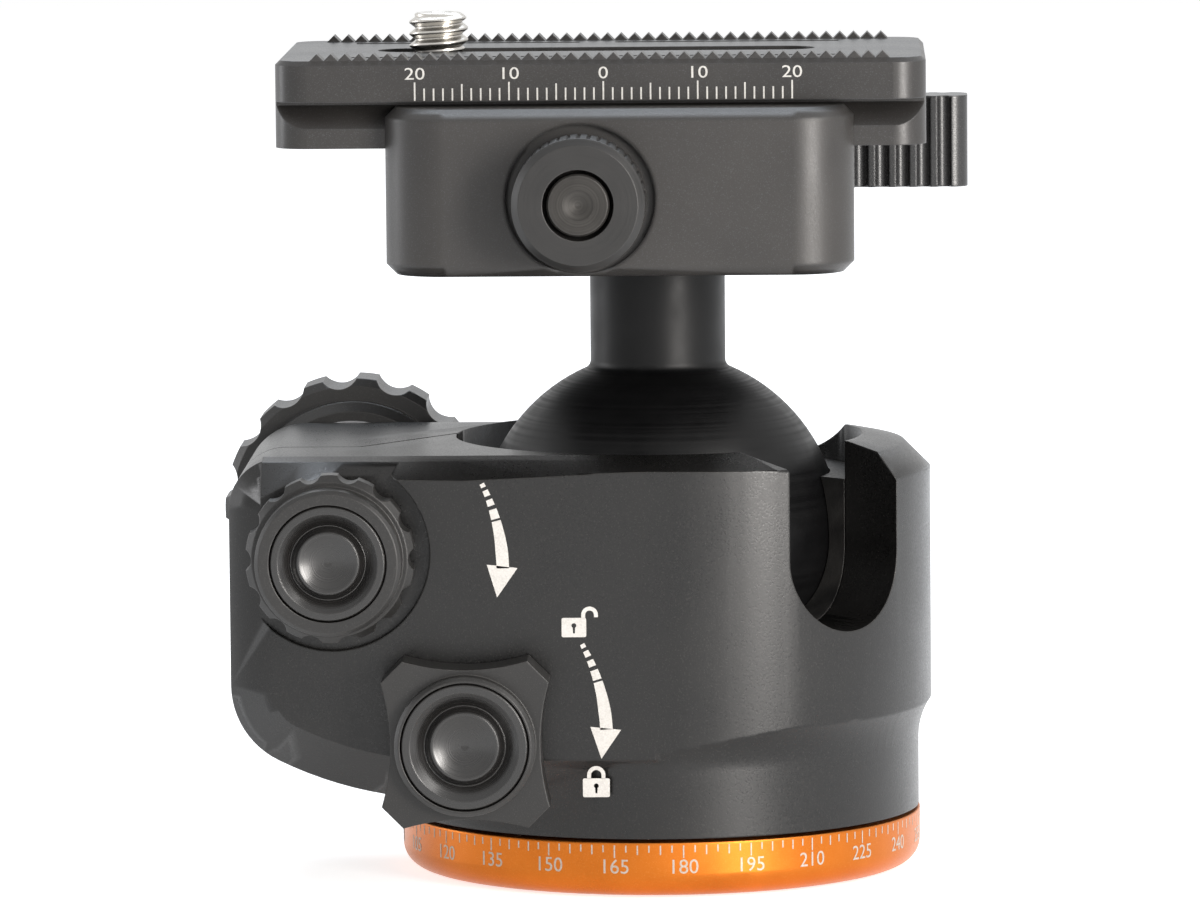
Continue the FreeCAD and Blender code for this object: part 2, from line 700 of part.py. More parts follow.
def wing_elevation():
    """The wing as seen from the front, with the facet round its outer edge."""
    body = new_body("wing_elevation")
    corner_x = dim.wing_corner_radius - dim.wing_end
    belly_x = dim.wing_belly_run - dim.wing_end
    run = belly_x - corner_x
    drop = dim.wing_corner_height - dim.wing_belly_height
    corner = dim.wing_corner_radius
    belly_radius = (run * run + drop * drop - corner * corner) / ((drop - corner) * 2)
    span = ((run * run) + (belly_radius - drop) * (belly_radius - drop)).root()
    join_x = belly_x - run * belly_radius / span
    join_z = dim.wing_belly_height + belly_radius - (belly_radius - drop) * belly_radius / span
    profile = pad_loop(body, "XZ_Plane", [
        (-dim.wing_end, dim.wing_corner_height),
        (join_x, join_z, corner),
        (belly_x, dim.wing_belly_height, belly_radius),
        (0, dim.wing_belly_height),
        (0, housing_top),
        (dim.wing_top_round - dim.wing_end, housing_top),
        (-dim.wing_end, housing_top - dim.wing_top_round, dim.wing_top_round),
    ], -dim.wing_back, dim.front_face)
    limit = belly_x.value + 0.01
    front = -dim.front_face.value
    top = housing_top.value

    def outer_edge(edge):
        box = edge.BoundBox
        on_front = abs(box.YMin - front) < 1e-4 and abs(box.YMax - front) < 1e-4
        return on_front and box.XMax < limit and box.ZMax < top - 0.01

    dress(body, profile, "Chamfer", outer_edge, dim.wing_facet)
    return body


def wing_side():
    """The wing as seen from its end: the top slopes to the front."""
    body = new_body("wing_side")
    pad_loop(body, "YZ_Plane", [
        (-dim.front_face, housing_bottom),
        (dim.wing_back, housing_bottom),
        (dim.wing_back, housing_top),
        (dim.top_slope_run - dim.front_face, housing_top),
        (-dim.front_face, housing_top - dim.rim_fall),
    ], -dim.wing_end, 0)
    return body


def wing_plan():
    """The wing as seen from above, with its cut corner at the back."""
    body = new_body("wing_plan")
    pad_loop(body, "XY_Plane", [
        (-dim.wing_end, -dim.front_face),
        (0, -dim.front_face),
        (0, dim.wing_back),
        (dim.wing_back_cut - dim.wing_end, dim.wing_back),
        (-dim.wing_end, dim.wing_back - dim.wing_back_cut),
    ], housing_bottom, housing_top)
    return body


def front_trim():
    """All that lies behind the front wall: flat, then round up to the notch."""
    body = new_body("front_trim")
    reach = dim.wing_end + 5
    side = dim.housing_radius * 0.7071
    pad_loop(body, "XY_Plane", [
        (-reach, -dim.front_face),
        (dim.front_flat_end, -dim.front_face),
        (dim.front_flat_end + side, dim.housing_radius - dim.front_face - side, dim.housing_radius),
        (reach, -reach),
        (reach, reach),
        (-reach, reach),
    ], 0, housing_top + 1)
    return body


def drop_notch():
    """A cutter with a round lower end, from the ball out to the front right."""
    body = new_body("drop_notch")
    half = dim.notch_width / 2
    pad_loop(body, "YZ_Plane", [
        (-half, notch_arc_height),
        (0, notch_arc_height - half, half),
        (half, notch_arc_height, half),
        (half, housing_top + 1),
        (-half, housing_top + 1),
    ], 0, dim.housing_radius + 5)
    body.Placement = FreeCAD.Placement(
        FreeCAD.Vector(), FreeCAD.Rotation(FreeCAD.Vector(0, 0, 1), -45.0))
    return body


def clamping_slot():
    """A thin kinked cutter from the wing's end to the socket."""
    body = new_body("clamping_slot")
    lean = dim.slot_width * 0.6667
    outer = dim.wing_end + 5
    inner_x = -dim.socket_radius + 3
    inner_y = 5.5
    pad_loop(body, "XY_Plane", [
        (-outer, -dim.slot_front),
        (-dim.slot_kink, -dim.slot_front),
        (inner_x, inner_y),
        (inner_x - lean, inner_y + dim.slot_width),
        (-dim.slot_kink - lean, dim.slot_width - dim.slot_front),
        (-outer, dim.slot_width - dim.slot_front),
    ], slot_floor, housing_top + 1)
    return body


def socket_core():
    """The hollows about the pan axis: spindle room, floor bore, nut room and socket."""
    body = new_body("socket_core")
    turn(body, [
        (0, housing_bottom - 1),
        (dim.spindle_rim_radius + dim.pan_gap, housing_bottom - 1),
        (dim.spindle_rim_radius + dim.pan_gap, web_bottom),
        (dim.spindle_radius + dim.fit_gap, web_bottom),
        (dim.spindle_radius + dim.fit_gap, web_top),
        (dim.nut_room_radius, web_top),
        (dim.nut_room_radius, seat_floor),
        (dim.socket_radius, seat_floor),
        (dim.socket_radius, housing_top + 1),
        (0, housing_top + 1),
    ])
    return body


def make_housing(notch, slot):
    round_part = cut("housing_round_bevelled", housing_round(), [lobe_bevel()])
    wing = common("wing", [wing_elevation(), wing_side(), wing_plan()])
    outside = common("housing_outside", [fused("housing_block", [round_part, wing]), front_trim()])
    bolt_hole = drill("bolt_hole", dim.bolt_radius + dim.side_gap, dim.front_face + dim.wing_back + 2,
                      (-dim.lock_x, dim.wing_back + 1, lock_height), FORWARD)
    end_hole = drill("end_hole", dim.end_screw_radius + dim.side_gap,
                     dim.wing_end - dim.lock_x + 1,
                     (-dim.lock_x, dim.end_screw_y, lock_height), TO_LEFT)
    pan_hole = drill("pan_hole", dim.pan_screw_radius + dim.fit_gap, dim.front_face,
                     (-dim.pan_x, dim.side_gap - pan_screw_tip, dim.pan_height), FORWARD)
    brake_bore = drill("brake_bore", dim.brake_head_radius + dim.fit_gap,
                       dim.pan_height - dim.brake_ledge,
                       (-dim.pan_x, -dim.brake_y, dim.brake_ledge), None)
    brake_hole = drill("brake_hole", dim.brake_stem_radius + dim.fit_gap, dim.brake_ledge,
                       (-dim.pan_x, -dim.brake_y, 0), None)
    spot_face = drill("spot_face", dim.main_knob_radius + dim.knob_relief, dim.housing_radius,
                      (-dim.lock_x, dim.wing_back, lock_height), BACKWARD)
    housing = cut("housing_cut", outside, [socket_core(), notch, slot, bolt_hole, end_hole,
                                           spot_face, pan_hole, brake_bore, brake_hole])
    node("housing", housing)


def make_lower_seat():
    body = new_body("lower_seat_body")
    inside = dim.ball_radius + dim.ball_gap
    bottom = seat_floor + dim.seat_lift
    top = bottom + dim.seat_height
    top_drop = ball_height - top
    mouth = (inside * inside - top_drop * top_drop).root()
    hole_drop = (inside * inside - dim.seat_inner_radius * dim.seat_inner_radius).root()
    turn(body, [
        (dim.seat_inner_radius, bottom),
        (dim.socket_radius - dim.side_gap, bottom),
        (dim.socket_radius - dim.side_gap, top),
        (mouth, top),
        (dim.seat_inner_radius, ball_height - hole_drop, -inside),
    ])
    node("lower_seat", body)


def make_seat_spring():
    body = new_body("seat_spring_body")
    rise = dim.seat_lift - dim.disc_thickness - dim.side_gap
    turn(body, [
        (dim.disc_outer_radius, seat_floor + dim.fit_gap),
        (dim.disc_outer_radius, seat_floor + dim.fit_gap + dim.disc_thickness),
        (dim.disc_inner_radius, seat_floor + rise + dim.disc_thickness),
        (dim.disc_inner_radius, seat_floor + rise),
    ])
    node("seat_spring", body)


def make_socket_liner(notch):
    body = new_body("socket_liner_body")
    inside = dim.ball_radius + dim.ball_gap
    lower = (inside * inside - dim.liner_bottom_drop * dim.liner_bottom_drop).root()
    upper = (inside * inside - dim.liner_top_rise * dim.liner_top_rise).root()
    bottom = ball_height - dim.liner_bottom_drop
    top = ball_height + dim.liner_top_rise
    turn(body, [
        (dim.socket_radius - dim.side_gap, bottom),
        (dim.socket_radius - dim.side_gap, top),
        (upper, top),
        (inside, ball_height, -inside),
        (lower, bottom, -inside),
    ])
    split = doc.addObject("Part::Box", "liner_split")
    split.Length = dim.socket_radius.value * 2
    split.Width = 1.0
    split.Height = top.value
    bind(split, "Length", dim.socket_radius * 2)
    bind(split, "Height", top)
    turned = FreeCAD.Rotation(FreeCAD.Vector(0, 0, 1), 166.0)
    split.Placement = FreeCAD.Placement(FreeCAD.Vector(), turned)
    node("socket_liner", cut("socket_liner_cut", body, [notch, split]))


def make_draw_bolt():
    length = dim.front_face + dim.wing_back + dim.friction_knob_height + dim.main_knob_height - 8
    start = dim.wing_back + dim.main_knob_height - 4
    node("draw_bolt", drill("draw_bolt_rod", dim.bolt_radius, length,
                            (-dim.lock_x, start, lock_height), FORWARD))


def make_end_screw():
    body = new_body("end_screw_body")
    length = dim.wing_end - dim.lock_x - dim.bolt_radius - dim.side_gap + dim.end_screw_proud
    turn(body, ring_corners(0, dim.end_screw_radius, 0, length))
    hex_socket(body, dim.end_screw_radius * 0.5, length - 1, length)
    place(body, -dim.lock_x - dim.bolt_radius - dim.side_gap, dim.end_screw_y, lock_height,
          TO_LEFT)
    node("end_screw", body)


def hex_socket(body, radius, low, high):
    """A six-sided hole about the body's axis; the radius is that of its corners."""
    corners = []
    for index in range(6):
        angle = math.radians(60.0 * index)
        across = radius * math.cos(angle)
        up = radius * math.sin(angle) if index % 3 else 0
        corners.append((across, up))
    return pocket_loop(body, "XY_Plane", corners, low, high)


def make_washers():
    thin = ring("lock_washer_body", dim.bolt_radius + dim.side_gap, dim.main_collar_radius - 2,
                0, dim.turn_gap - dim.fit_gap)
    place(thin, -dim.lock_x, dim.wing_back, lock_height, BACKWARD)
    node("lock_washer", thin)
    front = ring("friction_washer_body", dim.bolt_radius + dim.side_gap,
                 dim.friction_flange_radius - 1.5, 0, dim.turn_gap - dim.fit_gap)
    place(front, -dim.lock_x, -dim.front_face, lock_height, FORWARD)
    node("friction_washer", front)


# Knobs, each drawn about its own axis and then turned to its face

def dished_cap(label, radius, top):
    """A knob cap with a flat ring, a recess, a raised rim and a dished middle."""
    body = new_body(label)
    rim = radius * 0.56
    rim_top = top - 0.3
    dish = rim - 0.4
    dish_radius = (dish * dish + dim.cap_dish * dim.cap_dish) / (dim.cap_dish * 2)
    turn(body, [
        (0, top - dim.cap_thickness),
        (radius, top - dim.cap_thickness),
        (radius, top - 0.2),
        (radius - 0.2, top),
        (radius * 0.86, top),
        (rim + 0.5, top - dim.cap_recess),
        (rim, rim_top - 0.2),
        (rim - 0.2, rim_top),
        (dish, rim_top),
        (0, rim_top - dim.cap_dish, -dish_radius),
    ])
    return body


def scalloped_ring(body, tip, low, high, count, scallop, bevel):
    """A turned ring whose rim is scalloped evenly."""
    turn(body, [
        (0, low),
        (tip - bevel, low),
        (tip, low + bevel),
        (tip, high - bevel),
        (tip - bevel, high),
        (0, high),
    ])
    shape = pocket_circle(body, "XY_Plane", (tip + scallop * 0.52, 0), scallop, low, high)
    around(body, shape, count)


def finish_knob(name, solids, cap_radius, top, bore_radius, spot, facing):
    """Joins a knob's solids, bores and recesses them, and adds the cap."""
    recess = top - dim.cap_thickness - dim.side_gap
    tools = [
        drill(f"{name}_bore", bore_radius, recess - 0.6, (0, 0, 0), None),
        drill(f"{name}_recess", cap_radius + dim.side_gap, dim.cap_thickness + 1,
              (0, 0, recess), None),
    ]
    knob = cut(f"{name}_cut", fused(f"{name}_solid", solids), tools)
    place(knob, *spot, facing)
    node(name, knob)
    cap = dished_cap(f"{name}_cap_body", cap_radius, top)
    place(cap, *spot, facing)
    node(f"{name}_cap", cap)


def make_main_knob():
    lobed = new_body("main_knob_lobed")
    collar_top = dim.turn_gap + dim.main_collar_height
    top = collar_top + dim.main_knob_height
    scalloped_ring(lobed, dim.main_knob_radius, collar_top, top, dim.main_knob_lobes,
                   dim.main_knob_scallop, 0.8)
    collar = new_body("main_knob_collar")
    turn(collar, [
        (0, dim.turn_gap),
        (dim.main_collar_radius - 1, dim.turn_gap),
        (dim.main_collar_radius, dim.turn_gap + 1),
        (dim.main_collar_radius, collar_top + 0.5),
        (0, collar_top + 0.5),
    ])
    finish_knob("main_knob", [lobed, collar], dim.main_cap_radius, top,
                dim.bolt_radius + dim.fit_gap,
                (-dim.lock_x, dim.wing_back, lock_height), BACKWARD)


def make_friction_knob():
    lobed = new_body("friction_knob_lobed")
    start = dim.friction_lobe_start
    top = dim.friction_knob_height
    scalloped_ring(lobed, dim.friction_lobe_radius, start, start + dim.friction_lobe_height,
                   dim.friction_knob_lobes, dim.friction_scallop, 0.7)
    barrel = new_body("friction_knob_barrel")
    turn(barrel, [
        (0, dim.turn_gap),
        (dim.friction_flange_radius - 0.9, dim.turn_gap),
        (dim.friction_flange_radius - 0.9, start + 0.5),
        (dim.friction_flange_radius, start + dim.friction_lobe_height - 0.5),
        (dim.friction_flange_radius, top - 0.4),
        (dim.friction_flange_radius - 0.4, top),
        (0, top),
    ])
    finish_knob("friction_knob", [lobed, barrel], dim.friction_cap_radius, top,
                dim.bolt_radius + dim.fit_gap,
                (-dim.lock_x, -dim.front_face, lock_height), FORWARD)


def four_lobes(body, low, high):
    """A four-lobed outline: flat tips on the diagonals, hollow sides between them."""
    reach = dim.pan_tip_radius
    half = dim.pan_tip_width / 2
    diagonal = 0.7071
    near = (reach - half) * diagonal
    far = (reach + half) * diagonal
    depth = far - dim.pan_waist_radius
    hollow = (near * near + depth * depth) / (depth * 2)
    corners = []
    for side in range(4):
        turned = [(far, -near), (dim.pan_waist_radius, 0), (far, near)]
        for index, (across, up) in enumerate(turned):
            for _ in range(side):
                across, up = -up, across
            corners.append((across, up) if index == 0 else (across, up, -hollow))
    return pad_loop(body, "XY_Plane", corners, low, high)


def make_pan_knob():
    lobed = new_body("pan_knob_lobed")
    start = dim.pan_lobe_start
    top = dim.pan_knob_height
    four_lobes(lobed, start, start + dim.pan_lobe_height)
    barrel = new_body("pan_knob_barrel")
    turn(barrel, [
        (0, dim.turn_gap),
        (dim.pan_hub_radius - 1, dim.turn_gap),
        (dim.pan_hub_radius, start + 0.2),
        (dim.pan_hub_radius, top - 0.4),
        (dim.pan_hub_radius - 0.4, top),
        (0, top),
    ])
    finish_knob("pan_knob", [lobed, barrel], dim.pan_cap_radius, top,
                dim.pan_screw_radius + dim.side_gap,
                (-dim.pan_x, -dim.front_face, dim.pan_height), FORWARD)


def make_pan_screw():
    recess = dim.pan_knob_height - dim.cap_thickness - dim.side_gap
    screw = new_body("pan_screw_body")
    length = dim.front_face + recess - 0.8 - pan_screw_tip
    turn(screw, [
        (0, 0),
        (dim.pan_screw_radius - dim.pan_screw_cone, 0),
        (dim.pan_screw_radius, dim.pan_screw_cone),
        (dim.pan_screw_radius, length),
        (0, length),
    ])
    place(screw, -dim.pan_x, -pan_screw_tip, dim.pan_height, FORWARD)
    node("pan_screw", screw)


# Pan brake

def coil(label, mean_radius, wire, low, high, turns):
    """A coil of half-turn arcs with a round wire; its least gap to itself is printed."""
    pitch = (high - low) / turns
    print(f"{label}: least gap between turns {pitch - 2 * wire:.2f} mm")

    def spot(quarter):
        angle = quarter * math.pi / 2
        return FreeCAD.Vector(mean_radius * math.cos(angle), mean_radius * math.sin(angle),
                              low + pitch * quarter / 4.0)

    halves = [Part.Arc(spot(2 * step), spot(2 * step + 1), spot(2 * step + 2)).toShape()
              for step in range(2 * turns)]
    path = Part.Wire(halves)
    section = Part.Wire([Part.Circle(spot(0), halves[0].tangentAt(halves[0].FirstParameter),
                                     wire).toShape()])
    return path.makePipeShell([section], True, False)


def make_pan_brake():
    body = new_body("pan_brake_body")
    cone_top = dim.brake_cone_start + dim.brake_cone_height
    turn(body, [
        (0, dim.base_height + dim.brake_lift),
        (dim.brake_stem_radius, dim.base_height + dim.brake_lift),
        (dim.brake_stem_radius, dim.brake_head_start),
        (dim.brake_head_radius, dim.brake_head_start),
        (dim.brake_head_radius, dim.brake_cone_start),
        (dim.brake_head_radius - dim.brake_cone_height, cone_top),
        (0, cone_top),
    ])
    place(body, -dim.pan_x, -dim.brake_y, 0)
    node("pan_brake", body)
    wire = number(dim.spring_wire_radius)
    room = number(dim.fit_gap)
    mean = (number(dim.brake_head_radius) + number(dim.brake_stem_radius)) / 2 + room
    low = number(dim.brake_ledge) + wire + room
    high = number(dim.brake_head_start) - wire - 0.45
    spring = shaped("brake_spring_coil", coil("brake_spring", mean, wire, low, high,
                                              int(number(dim.brake_spring_turns))))
    place(spring, -dim.pan_x, -dim.brake_y, 0)
    node("brake_spring", spring)


# Ball and stem

def make_ball():
    body = new_body("ball_body")
    radius = dim.ball_radius
    fillet = dim.stem_fillet
    centre_across = dim.stem_radius + fillet
    reach = radius + fillet
    centre_up = (reach * reach - centre_across * centre_across).root()
    touch_across = centre_across * radius / reach
    touch_up = centre_up * radius / reach
    top = clamp_bottom + dim.spigot_depth - dim.side_gap
    turn(body, [
        (0, ball_height - radius),
        (radius, ball_height, radius),
        (touch_across, ball_height + touch_up, radius),
        (dim.stem_radius, ball_height + centre_up, -fillet),
        (dim.stem_radius, top),
        (dim.stem_bore_radius, top),
        (dim.stem_bore_radius, top - dim.clamp_screw_length - 1),
        (0, top - dim.clamp_screw_length - 1),
    ])
    node("ball", body)


# Clamp

def clamp_outline(corner_y, far_y, label):
    """An upright block of the clamp with rounded outer corners and bevelled edges."""
    body = new_body(label)
    sign = -1 if number(corner_y) < number(far_y) else 1
    corner = dim.clamp_corner
    inner_y = corner_y - corner * sign
    turn_way = corner if sign < 0 else -corner
    block = pad_loop(body, "XY_Plane", [
        (-dim.clamp_left, far_y),
        (-dim.clamp_left, inner_y),
        (corner - dim.clamp_left, corner_y, turn_way),
        (dim.clamp_right - corner, corner_y),
        (dim.clamp_right, inner_y, turn_way),
        (dim.clamp_right, far_y),
    ], clamp_bottom, clamp_top)
    plane = number(far_y)

    def rim(edge):
        box = edge.BoundBox
        level = box.ZMax - box.ZMin < 1e-4
        inner = abs(box.YMin - plane) < 1e-4 and abs(box.YMax - plane) < 1e-4
        return level and not inner

    dress(body, block, "Chamfer", rim, dim.clamp_edge)
    return body


def channel(label, near_y, far_y):
    """The dovetail channel's cutter, with the lip on the side of far_y."""
    body = new_body(label)
    sign = 1 if number(far_y) > 0 else -1
    wall = (dim.plate_half_width + dim.slide_gap) * sign
    rise = dim.dovetail_rise
    lip = wall - rise * sign
    low = clamp_floor
    slope_start = low + dim.slide_gap + dim.flange_height
    reach = dim.clamp_left + 5
    pad_loop(body, "YZ_Plane", [
        (near_y, low),
        (wall, low),
        (wall, slope_start),
        (lip, slope_start + rise),
        (lip, clamp_top + 1),
        (near_y, clamp_top + 1),
    ], -reach, reach)
    return body


def make_clamp_body():
    block = clamp_outline(-dim.clamp_front, dim.jaw_front - dim.slide_gap, "clamp_block")
    across = channel("clamp_channel", dim.jaw_front + 1, -dim.clamp_front)
    spigot = drill("spigot_hole", dim.stem_radius + dim.fit_gap, dim.spigot_depth + 1,
                   (0, 0, clamp_bottom - 1), None)
    head_bottom = clamp_bottom + dim.spigot_depth + 2
    head_hole = drill("clamp_screw_head_hole", dim.clamp_screw_head_radius + dim.side_gap, 20,
                      (0, 0, head_bottom), None)
    shank_hole = drill("clamp_screw_hole", dim.clamp_screw_radius + dim.side_gap, 20,
                       (0, 0, clamp_bottom), None)
    rod_hole = drill("rod_hole", dim.rod_radius + dim.side_gap,
                     dim.clamp_front + dim.jaw_front + 2,
                     (-dim.rod_x, dim.jaw_front + 1, rod_height), FORWARD)
    tools = [across, spigot, head_hole, shank_hole, rod_hole]
    for side, spot in (("left", -dim.guide_pin_left), ("right", dim.guide_pin_right)):
        start = (spot, dim.guide_pin_start, guide_pin_height)
        tools.append(drill(f"{side}_pin_hole", dim.guide_pin_radius + dim.fit_gap,
                           dim.jaw_front, start, BACKWARD))
        pocket_start = (spot, dim.jaw_spring_pocket, guide_pin_height)
        pocket_radius = dim.jaw_spring_radius + dim.spring_wire_radius + dim.side_gap
        tools.append(drill(f"{side}_spring_pocket", pocket_radius, dim.jaw_front,
                           pocket_start, BACKWARD))
    node("clamp_body", cut("clamp_body_cut", block, tools))


def make_clamp_jaw():
    block = clamp_outline(dim.clamp_back, dim.jaw_front, "jaw_block")
    across = channel("jaw_channel", dim.jaw_front - 1, dim.clamp_back)
    rod_hole = drill("jaw_rod_hole", dim.rod_radius + dim.side_gap, dim.clamp_back,
                     (-dim.rod_x, dim.clamp_back + 1, rod_height), FORWARD)
    tools = [across, rod_hole]
    for side, spot in (("left", -dim.guide_pin_left), ("right", dim.guide_pin_right)):
        start = (spot, 0, guide_pin_height)
        tools.append(drill(f"jaw_{side}_pin_hole", dim.guide_pin_radius + dim.fit_gap,
                           dim.guide_pin_end + dim.side_gap, start, BACKWARD))
    node("clamp_jaw", cut("clamp_jaw_cut", block, tools))


def make_clamp_screw():
    body = new_body("clamp_screw_body")
    head_bottom = clamp_bottom + dim.spigot_depth + 2
    head_top = head_bottom + dim.clamp_screw_head_height
    low = clamp_bottom + dim.spigot_depth - dim.clamp_screw_length
    turn(body, [
        (0, low),
        (dim.clamp_screw_radius, low),
        (dim.clamp_screw_radius, head_bottom + dim.fit_gap),
        (dim.clamp_screw_head_radius, head_bottom + dim.fit_gap),
        (dim.clamp_screw_head_radius, head_top),
        (0, head_top),
    ])
    hex_socket(body, dim.hex_radius, head_top - 2.4, head_top)
    node("clamp_screw", body)


def make_guide_pins():
    pins = []
    coils = []
    wire = number(dim.spring_wire_radius)
    low = number(dim.jaw_spring_pocket) + wire + number(dim.fit_gap)
    high = number(dim.jaw_front) - wire - number(dim.side_gap)
    winding = coil("jaw_springs", number(dim.jaw_spring_radius), wire, low, high,
                   int(number(dim.jaw_spring_turns)))
    for side, spot in (("left", -dim.guide_pin_left), ("right", dim.guide_pin_right)):
        start = (spot, dim.guide_pin_start + dim.side_gap, guide_pin_height)
        length = dim.guide_pin_end - dim.guide_pin_start - dim.side_gap
        pins.append(drill(f"{side}_guide_pin", dim.guide_pin_radius, length, start, BACKWARD))
        spring = shaped(f"{side}_jaw_spring", winding)
        place(spring, spot, 0, guide_pin_height, BACKWARD)
        coils.append(spring)
    for name, pieces in (("guide_pins", pins), ("jaw_springs", coils)):
        group = doc.addObject("Part::Compound", f"{name}_group")
        group.Links = pieces
        node(name, group)


cam_y = dim.clamp_back + dim.cam_radius + dim.side_gap


def make_draw_rod():
    body = new_body("draw_rod_body")
    front = dim.clamp_front + dim.adjuster_height
    end_start = dim.rod_end_length
    back = front + cam_y + dim.lever_pin_radius + 1.4
    turn(body, [
        (0, 0.6),
        (dim.rod_end_radius * 0.5, 0.25),
        (dim.rod_end_radius - 0.2, 0.25),
        (dim.rod_end_radius, 0.45),
        (dim.rod_end_radius, end_start),
        (dim.rod_radius, end_start),
        (dim.rod_radius, back),
        (0, back),
    ])
    place(body, -dim.rod_x, -front, rod_height, BACKWARD)
    eye = drill("rod_eye", dim.lever_pin_radius + dim.fit_gap, 20,
                (-dim.rod_x, cam_y, lever_bottom), None)
    node("draw_rod", cut("draw_rod_cut", body, [eye]))


def make_adjuster_nut():
    body = new_body("adjuster_nut_body")
    high = dim.adjuster_height
    low = dim.turn_gap
    mouth = dim.rod_end_radius + 0.45
    turn(body, [
        (dim.rod_end_radius + dim.fit_gap, low),
        (dim.adjuster_radius - 0.5, low),
        (dim.adjuster_radius, low + 0.5),
        (dim.adjuster_radius, high - dim.adjuster_radius + dim.adjuster_face_radius),
        (dim.adjuster_face_radius, high),
        (mouth, high),
        (mouth, high - 1.2),
        (dim.rod_end_radius + dim.fit_gap, high - 1.6),
    ])
    groove = pocket_loop(body, "XY_Plane", [
        (dim.adjuster_radius + 0.2, -0.42),
        (dim.adjuster_radius + 0.2, 0.42),
        (dim.adjuster_radius - 0.25, 0),
    ], low, high - 0.8)
    around(body, groove, dim.adjuster_grooves)
    place(body, -dim.rod_x, -dim.clamp_front, rod_height, FORWARD)
    node("adjuster_nut", body)


CAM_STEPS = 12


def cam_points():
    """The cam's outline, on which a flat face falls evenly as the lever opens."""
    radius = number(dim.cam_radius)
    sweep = math.radians(number(dim.cam_turn))
    slope = number(dim.cam_fall) / sweep
    points = []
    for step in range(CAM_STEPS + 1):
        swing = sweep * step / CAM_STEPS
        reach = radius - slope * swing
        across, up = -math.sin(swing), -math.cos(swing)
        points.append(FreeCAD.Vector(
            reach * across - slope * up, reach * up + slope * across, 0))
    return points


def cam_back(start):
    """The arc from the cam's open end to the highest point of its back."""
    sweep = math.radians(number(dim.cam_turn))
    out = FreeCAD.Vector(-math.sin(sweep), -math.cos(sweep), 0)
    crest = number(dim.cam_radius) - number(dim.cam_fall) + number(dim.cam_back_wall)
    radius = (crest - start.y) / (1.0 - out.y)
    centre = start - out * radius
    half_way = (math.atan2(out.y, out.x) + math.pi / 2) / 2
    middle = centre + FreeCAD.Vector(math.cos(half_way), math.sin(half_way), 0) * radius
    return Part.Arc(start, middle, centre + FreeCAD.Vector(0, radius, 0)), centre.x, crest


def lever_plan():
    """The lever from above, about its pin: the cam, then the arm out to the right."""
    rise = cam_points()
    radius = number(dim.cam_radius)
    tip = number(dim.lever_tip) + number(dim.rod_x)
    front = number(dim.lever_front_gap) - radius
    back = front + number(dim.lever_thickness)
    spiral = Part.BSplineCurve()
    spiral.interpolate(rise)
    crest_arc, crest_x, crest_y = cam_back(rise[-1])
    crest = FreeCAD.Vector(crest_x, crest_y, 0)
    shoulder = FreeCAD.Vector(radius + number(dim.lever_shoulder), back, 0)
    heel = FreeCAD.Vector(radius / 2, front, 0)
    tip_round = number(dim.lever_tip_round)
    diagonal = tip_round * (1.0 - math.sqrt(0.5))
    outline = [
        spiral.toShape(),
        crest_arc.toShape(),
        Part.LineSegment(crest, shoulder).toShape(),
        Part.LineSegment(shoulder, FreeCAD.Vector(tip - tip_round, back, 0)).toShape(),
        Part.Arc(FreeCAD.Vector(tip - tip_round, back, 0),
                 FreeCAD.Vector(tip - diagonal, back - diagonal, 0),
                 FreeCAD.Vector(tip, back - tip_round, 0)).toShape(),
        Part.LineSegment(FreeCAD.Vector(tip, back - tip_round, 0),
                         FreeCAD.Vector(tip, front + tip_round, 0)).toShape(),
        Part.Arc(FreeCAD.Vector(tip, front + tip_round, 0),
                 FreeCAD.Vector(tip - diagonal, front + diagonal, 0),
                 FreeCAD.Vector(tip - tip_round, front, 0)).toShape(),
        Part.LineSegment(FreeCAD.Vector(tip - tip_round, front, 0), heel).toShape(),
        Part.LineSegment(heel, rise[0]).toShape(),
    ]
    return Part.Face(Part.Wire(outline))


def make_clamp_lever():
    height = number(lever_top) - number(lever_bottom)
    blank = shaped("lever_blank", lever_plan().extrude(FreeCAD.Vector(0, 0, height)))
    place(blank, -dim.rod_x, cam_y, lever_bottom)
    tools = [drill("lever_pin_hole", dim.lever_pin_radius + dim.side_gap, height + 2,
                   (-dim.rod_x, cam_y, lever_bottom - 1), None)]
    fork = doc.addObject("Part::Box", "lever_fork")
    half = dim.rod_radius + dim.turn_gap
    reach = dim.cam_radius + 6
    fork.Length = number(reach * 2)
    fork.Width = number(reach * 2)
    fork.Height = number(half * 2)
    bind(fork, "Length", reach * 2 - 8)
    bind(fork, "Width", reach * 2)
    bind(fork, "Height", half * 2)
    place(fork, -dim.rod_x - reach, cam_y - reach, rod_height - half)
    tools.append(fork)
    back = dim.cam_radius - dim.lever_front_gap - dim.lever_thickness
    for index in range(int(number(dim.lever_rib_count))):
        spot = dim.lever_tip - 2.6 - dim.lever_rib_pitch * index
        for side, depth in (("near", cam_y - dim.cam_radius + dim.side_gap + 0.2),
                            ("far", cam_y - back + 0.2)):
            tools.append(drill(f"lever_groove_{side}_{index}", dim.lever_rib_radius, height + 2,
                               (spot, depth, lever_bottom - 1), None))
    node("clamp_lever", cut("clamp_lever_cut", blank, tools))
    node("lever_pin", drill("lever_pin_rod", dim.lever_pin_radius, height - 0.6,
                            (-dim.rod_x, cam_y, lever_bottom + 0.3), None))


# Plate

